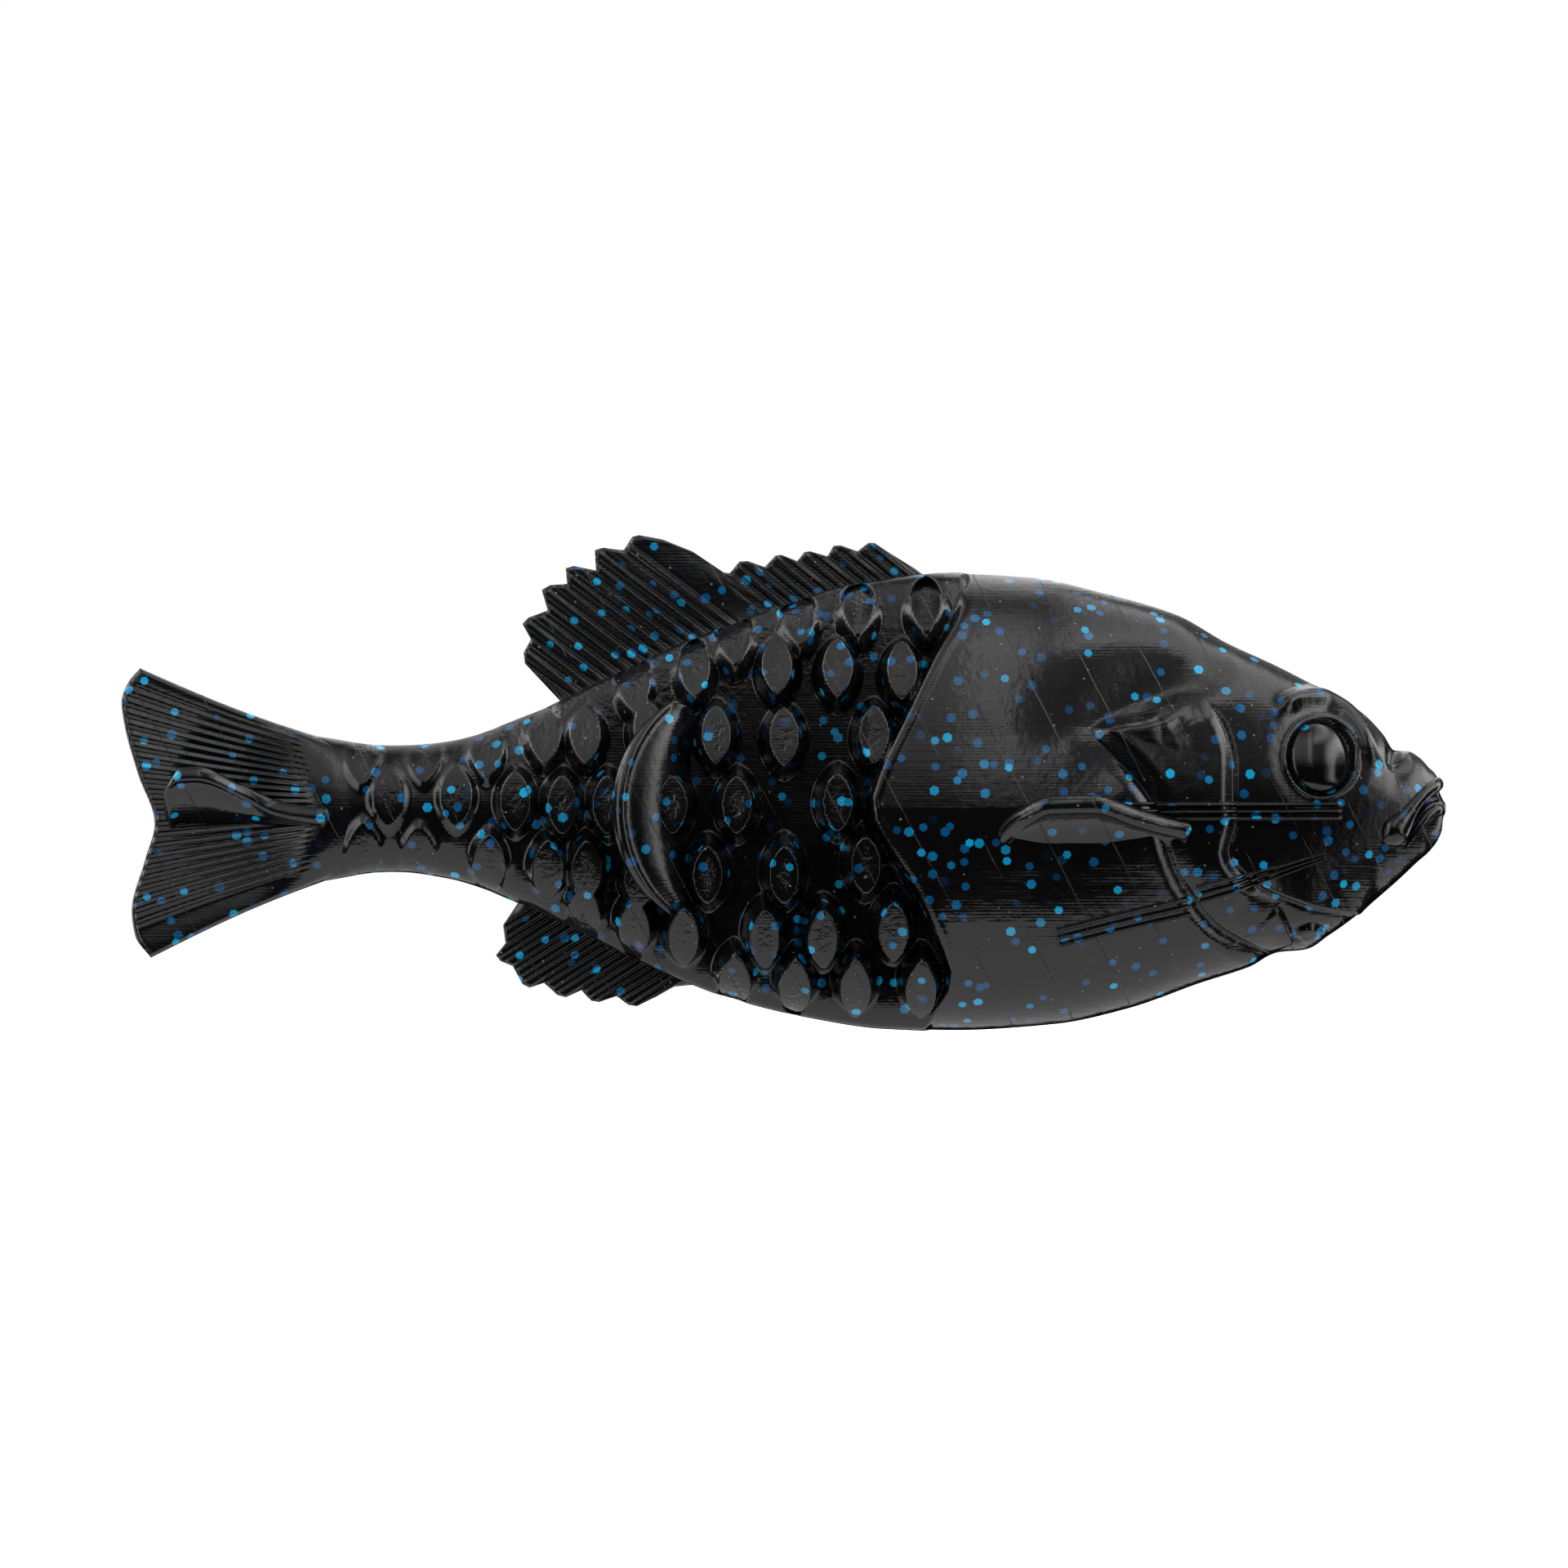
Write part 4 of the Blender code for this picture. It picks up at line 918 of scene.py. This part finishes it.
TAIL_EDGE = [
    (-108.3, 11.6), (-109.3, 10.4), (-109.85, 8.8), (-109.6, 6.9), (-108.5, 2.9), (-107.1, -1.3),
    (-107.9, -4.3), (-109.0, -8.6), (-108.7, -10.6), (-107.4, -12.4),
]
TAIL_ROOT_X = -90.0
TAIL_ROOT_TOP, TAIL_ROOT_BOTTOM = 4.9, -5.0
TAIL_ROOT_HALF = 2.9
TAIL_BOW = 0.45
TAIL_RAYS = 23
TAIL_RAY_HEIGHT = 0.17
UPPER_MARGIN, LOWER_MARGIN = 0.045, 0.9
LOWER_MARGIN_SWELL = 0.3
TAIL_SPAN, TAIL_REACH = 24.0, 16.0
TAIL_EDGE_ROUNDING = 0.5
edge = even_points(smooth_line(TAIL_EDGE, 80), 340)
share = np.linspace(0, 1, len(edge))
root_z = TAIL_ROOT_TOP + (TAIL_ROOT_BOTTOM - TAIL_ROOT_TOP) * share
root = np.stack([np.full(len(edge), TAIL_ROOT_X), root_z], axis=1)
run = np.linspace(0, 1, 110)[None, :, None]
bow = np.sin(pi * run[..., 0]) * TAIL_BOW * (2 * share[:, None] - 1)
blade = root[:, None] * (1 - run) + edge[:, None] * run
blade[..., 1] += bow
spread = np.clip((share - UPPER_MARGIN) / (LOWER_MARGIN - UPPER_MARGIN), 0, 1)[:, None]
ray = 0.5 + 0.5 * np.cos(2 * pi * TAIL_RAYS * spread)
between_margins = (ease(0.03, 0.06, share) * (1 - ease(0.88, 0.91, share)))[:, None]
rayed = ease(0.2, 0.33, run[..., 0]) * between_margins
stem_half = TAIL_ROOT_HALF * np.sqrt(np.clip(1 - (2 * share - 1) ** 2, 0, 1))[:, None]
blade_half = 0.85 - 0.35 * run[..., 0]
settle = ease(0.1, 0.5, run[..., 0])
half = stem_half * (1 - settle) + blade_half * settle
half += TAIL_RAY_HEIGHT * (ray**0.8 - 0.5) * rayed
half += LOWER_MARGIN_SWELL * ease(0.86, 0.99, share)[:, None] * settle
from_margin = np.minimum(share, 1 - share)[:, None] * TAIL_SPAN * (0.45 + run[..., 0])
from_edge = (1 - run[..., 0]) * TAIL_REACH
rounding = np.clip(np.minimum(from_margin, from_edge) / TAIL_EDGE_ROUNDING, 0, 1)
half *= 0.2 + 0.8 * np.sqrt(1 - (1 - rounding) ** 2)
sheets = [np.stack([blade[..., 0], side * half, blade[..., 1]], axis=-1) for side in (-1, 1)]
piece = closed_sheet("tail_blade", *sheets)
piece.data.materials.append(FIN_PLASTIC)
flex_over(piece)
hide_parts("tail_fin")


# ---- Flaps ----
# Soft flaps stand off the flanks and the tail, one of each on either side: a curled fin behind the gills,
# a round flap over the middle scale posts and a long one on the tail. Each has a rolled rim, and its
# thin root is part of the skin.

FLAP_HALF_THICKNESS = 0.5
ROLLED_RIM = 0.28
RIM_PLACE, RIM_WIDTH = 0.6, 0.42


def flap_piece(name, side_name, root, outs, curl, node, joint_name):
    """A curled sheet: outs gives each root point's reach, as a vector, and curl lifts the middle."""
    run = np.linspace(0, 1, 48)[None, :, None]
    reach = np.linalg.norm(outs, axis=1)
    along = np.gradient(root, axis=0)
    along /= np.linalg.norm(along, axis=1, keepdims=True)
    lift = np.cross(along, outs / np.maximum(reach, 1e-6)[:, None])
    middle = root[:, None] + outs[:, None] * run + (lift * curl[:, None])[:, None] * np.sin(pi * run)
    facing = grid_normals(middle, False)
    to_rim = reach[:, None] * (1 - run[..., 0])
    to_ends = np.minimum(np.arange(len(root)), np.arange(len(root))[::-1])[:, None] * 0.14
    to_rim = np.minimum(to_rim, to_ends)
    roll = swell(to_rim - RIM_PLACE, height=ROLLED_RIM, width=RIM_WIDTH)
    rounding = np.clip(to_rim / RIM_PLACE, 0, 1)
    half = (FLAP_HALF_THICKNESS + roll) * (0.12 + 0.88 * np.sqrt(1 - (1 - rounding) ** 2))
    thick = facing * half[..., None]
    made = closed_sheet(f"{name}_{side_name}", middle + thick, middle - thick)
    made.data.materials.append(FIN_PLASTIC)
    joint = next(j for j in frame["joints"] if j["name"] == joint_name)
    axis = Vector(joint["axis"]).normalized()
    out = Vector(outs[len(outs) // 2])
    out = (out - axis * out.dot(axis)).normalized()
    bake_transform(made)
    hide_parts(node)


# How far the two long flaps reach out of the skin: (share along the root from its rear end, reach)
CURLED_FIN_REACH = [
    (0, 0.2), (0.03, 1.7), (0.11, 3.6), (0.26, 5.2), (0.48, 5.3), (0.74, 3.5), (0.95, 2.2), (1, 1.9),
]
TAIL_FLAP_REACH = [(0, 2.4), (0.04, 4.9), (0.1, 6.0), (0.2, 6.1), (0.46, 4.2), (0.7, 2.2), (1, 1.2)]
CURLED_FIN_Z = -3.95
CURLED_FIN_SINK = 0.9
CURLED_FIN_CURL = 0.75
HIDDEN_ROOT = 1.2
TAIL_FLAP_Z = -0.95
FLAP_RISE = radians(45)
ROUND_FLAP_X = -63.0
ROUND_FLAP_HALF = 8.9
ROUND_FLAP_REACH = 6.9
ROUND_FLAP_CURL = 1.1
ROUND_FLAP_SPREAD = radians(36)
share = np.linspace(0, 1, 130)
level = 2 * share - 1
arc = np.sqrt(np.clip(1 - level**2, 0, 1))
for side_name, side in SIDES.items():
    outward = np.array([0, side * cos(FLAP_RISE), sin(FLAP_RISE)])
    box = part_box(f"pectoral_fin_{side_name}")
    x = (box[0].x + (box[1].x - box[0].x) * share) / MM
    ground = skin_sample(x, np.full(len(x), CURLED_FIN_Z), side)[0]
    # The root runs straight on over the creases in the skin
    for _ in range(150):
        ground[1:-1] = (ground[:-2] + ground[1:-1] * 2 + ground[2:]) / 4
    ground[:, 1] -= side * CURLED_FIN_SINK
    outs = (through(CURLED_FIN_REACH, share) + HIDDEN_ROOT)[:, None] * outward
    curl = side * np.full(len(x), CURLED_FIN_CURL)
    node, body = f"pectoral_fin_{side_name}", f"pectoral_{side_name}"
    flap_piece("curled_fin", side_name, ground, outs, curl, node, f"{body}_flex")

    height = ROUND_FLAP_HALF * level
    root_x = ROUND_FLAP_X + 0.8 * level**2
    core_y = through(CORE_LINE, -root_x) * np.sqrt(1 - np.clip(height / 14.0, -1, 1) ** 2) - 0.4
    ground = np.stack([root_x, side * core_y, height], axis=1)
    along = np.array([-cos(ROUND_FLAP_SPREAD), side * sin(ROUND_FLAP_SPREAD), 0])
    outs = (ROUND_FLAP_REACH * arc + 0.6)[:, None] * along
    curl = -side * ROUND_FLAP_CURL * arc
    node, body = f"side_flap_{side_name}", f"flap_{side_name}"
    flap_piece("round_flap", side_name, ground, outs, curl, node, f"side_{body}_flex")

    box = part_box(f"tail_flap_{side_name}")
    x = (box[0].x + (box[1].x - box[0].x) * share) / MM
    y = 0.1 + 2.6 * ease(-100.0, -92.0, x)
    ground = np.stack([x, side * y, np.full(len(x), TAIL_FLAP_Z)], axis=1)
    outs = through(TAIL_FLAP_REACH, share)[:, None] * outward
    node = f"tail_flap_{side_name}"
    flap_piece("tail_flap", side_name, ground, outs, curl * 0.5, node, f"{node}_flex")


# ---- Studio ----
# A plain white floor and backdrop. The light is soft: a broad softbox over each flank, darkness between the
# softboxes and the floor, and the white floor itself.

# Light by the height of its direction, from straight below to straight above, and the share of it that is
# left at each place along the object. Two upright panels ahead and behind light the folds.
LIGHT_BY_HEIGHT = [
    (-1.0, 1.05), (-0.61, 1.05), (-0.585, 0.02), (0.06, 0.02), (0.18, 0.45), (0.36, 1.5),
    (0.56, 2.0), (0.86, 2.2), (0.97, 1.2), (1.0, 0.35),
]
LIGHT_ALONG = [
    (-0.6, 0.5), (-0.2, 0.38), (0.0, 0.48), (0.05, 1.0), (0.12, 0.95), (0.21, 0.2), (0.5, 0.12),
    (0.85, 0.9),
]
BRIGHTEST = 2.5
END_PANELS = 2.2


def light_curve(tree, value, stops, brightest=1.0):
    """A grey that follows (value, light) stops, for a value between -1 and 1."""
    place = maths(tree, "MULTIPLY_ADD", value, 0.5, 0.5)
    ramp = add_node(tree, "ShaderNodeValToRGB", {"Fac": place})
    elements = ramp.color_ramp.elements
    while len(elements) < len(stops):
        elements.new(0.5)
    for element, (level, light) in zip(elements, stops):
        element.position = level * 0.5 + 0.5
        grey = light / brightest
        element.color = (grey, grey, grey, 1)
    return ramp.outputs["Color"]


def all_of(tree, first, *others):
    """Shares multiplied together."""
    for other in others:
        first = maths(tree, "MULTIPLY", first, other)
    return first


studio = bpy.data.worlds.new("studio")
bpy.context.scene.world = studio
studio.use_nodes = True
sky = studio.node_tree
sky.nodes.clear()
direction = add_node(sky, "ShaderNodeTexCoord").outputs["Generated"]
split = add_node(sky, "ShaderNodeSeparateXYZ", {"Vector": direction}).outputs
along, upward = split["X"], split["Z"]
by_height = light_curve(sky, upward, LIGHT_BY_HEIGHT, BRIGHTEST)
shade = opposite(sky, light_curve(sky, along, LIGHT_ALONG))
high_ahead = all_of(sky, smooth_step(sky, along, 0.15, 0.3), smooth_step(sky, upward, 0.7, 0.84))
shade = all_of(sky, smooth_step(sky, upward, -0.5, -0.45), shade, opposite(sky, high_ahead))
softboxes = maths(sky, "MULTIPLY", opposite(sky, shade), BRIGHTEST)

away = maths(sky, "ABSOLUTE", along)
ahead = all_of(sky, smooth_step(sky, along, 0.4, 0.5), opposite(sky, smooth_step(sky, along, 0.7, 0.85)))
low = opposite(sky, smooth_step(sky, upward, 0.1, 0.4))
panels = all_of(
    sky,
    smooth_step(sky, away, 0.58, 0.8),
    opposite(sky, smooth_step(sky, away, 0.87, 0.95)),
    opposite(sky, all_of(sky, ahead, low, 0.65)),
    smooth_step(sky, upward, -0.5, -0.3),
    opposite(sky, smooth_step(sky, upward, 0.6, 0.8)),
    END_PANELS,
)
light = maths(sky, "MULTIPLY_ADD", by_height, softboxes, panels)
lit = add_node(sky, "ShaderNodeBackground", {"Color": (1, 1, 1, 1), "Strength": light})
backdrop = add_node(sky, "ShaderNodeBackground", {"Color": (1, 1, 1, 1), "Strength": 1.0})
seen = add_node(sky, "ShaderNodeLightPath").outputs["Is Camera Ray"]
mixed = add_node(sky, "ShaderNodeMixShader", {0: seen, 1: lit.outputs[0], 2: backdrop.outputs[0]})
add_node(sky, "ShaderNodeOutputWorld", {"Surface": mixed.outputs[0]})

FLOOR_DROP, FLOOR_HALF = 0.075, 3.0
floor_mesh = bpy.data.meshes.new("floor")
corners = [(x * FLOOR_HALF, y * FLOOR_HALF, -FLOOR_DROP) for x, y in ((-1, -1), (1, -1), (1, 1), (-1, 1))]
floor_mesh.from_pydata(corners, [], [(0, 1, 2, 3)])
floor = bpy.data.objects.new("floor", floor_mesh)
bpy.context.scene.collection.objects.link(floor)
floor_paint = bpy.data.materials.new("white_floor")
floor_paint.use_nodes = True
paint = floor_paint.node_tree.nodes["Principled BSDF"]
paint.inputs["Base Color"].default_value = (0.9, 0.9, 0.9, 1)
paint.inputs["Roughness"].default_value = 0.9
paint.inputs["Emission Color"].default_value = (1, 1, 1, 1)
paint.inputs["Emission Strength"].default_value = 0.75
floor_mesh.materials.append(floor_paint)
floor.visible_glossy = False
floor.visible_diffuse = False

CAMERA_DISTANCE = 0.9
CAMERA_X, CAMERA_Z = -0.0549, 0.0020
FRAME_WIDTH = 0.13005
camera_data = bpy.data.cameras.new("camera")
camera_data.sensor_width = 36.0
camera_data.lens = camera_data.sensor_width * CAMERA_DISTANCE / FRAME_WIDTH
camera = bpy.data.objects.new("camera", camera_data)
camera.location = (CAMERA_X, -CAMERA_DISTANCE, CAMERA_Z)
camera.rotation_euler = (pi / 2, 0, 0)
bpy.context.scene.collection.objects.link(camera)
bpy.context.scene.camera = camera
bpy.context.scene.view_settings.view_transform = "Standard"
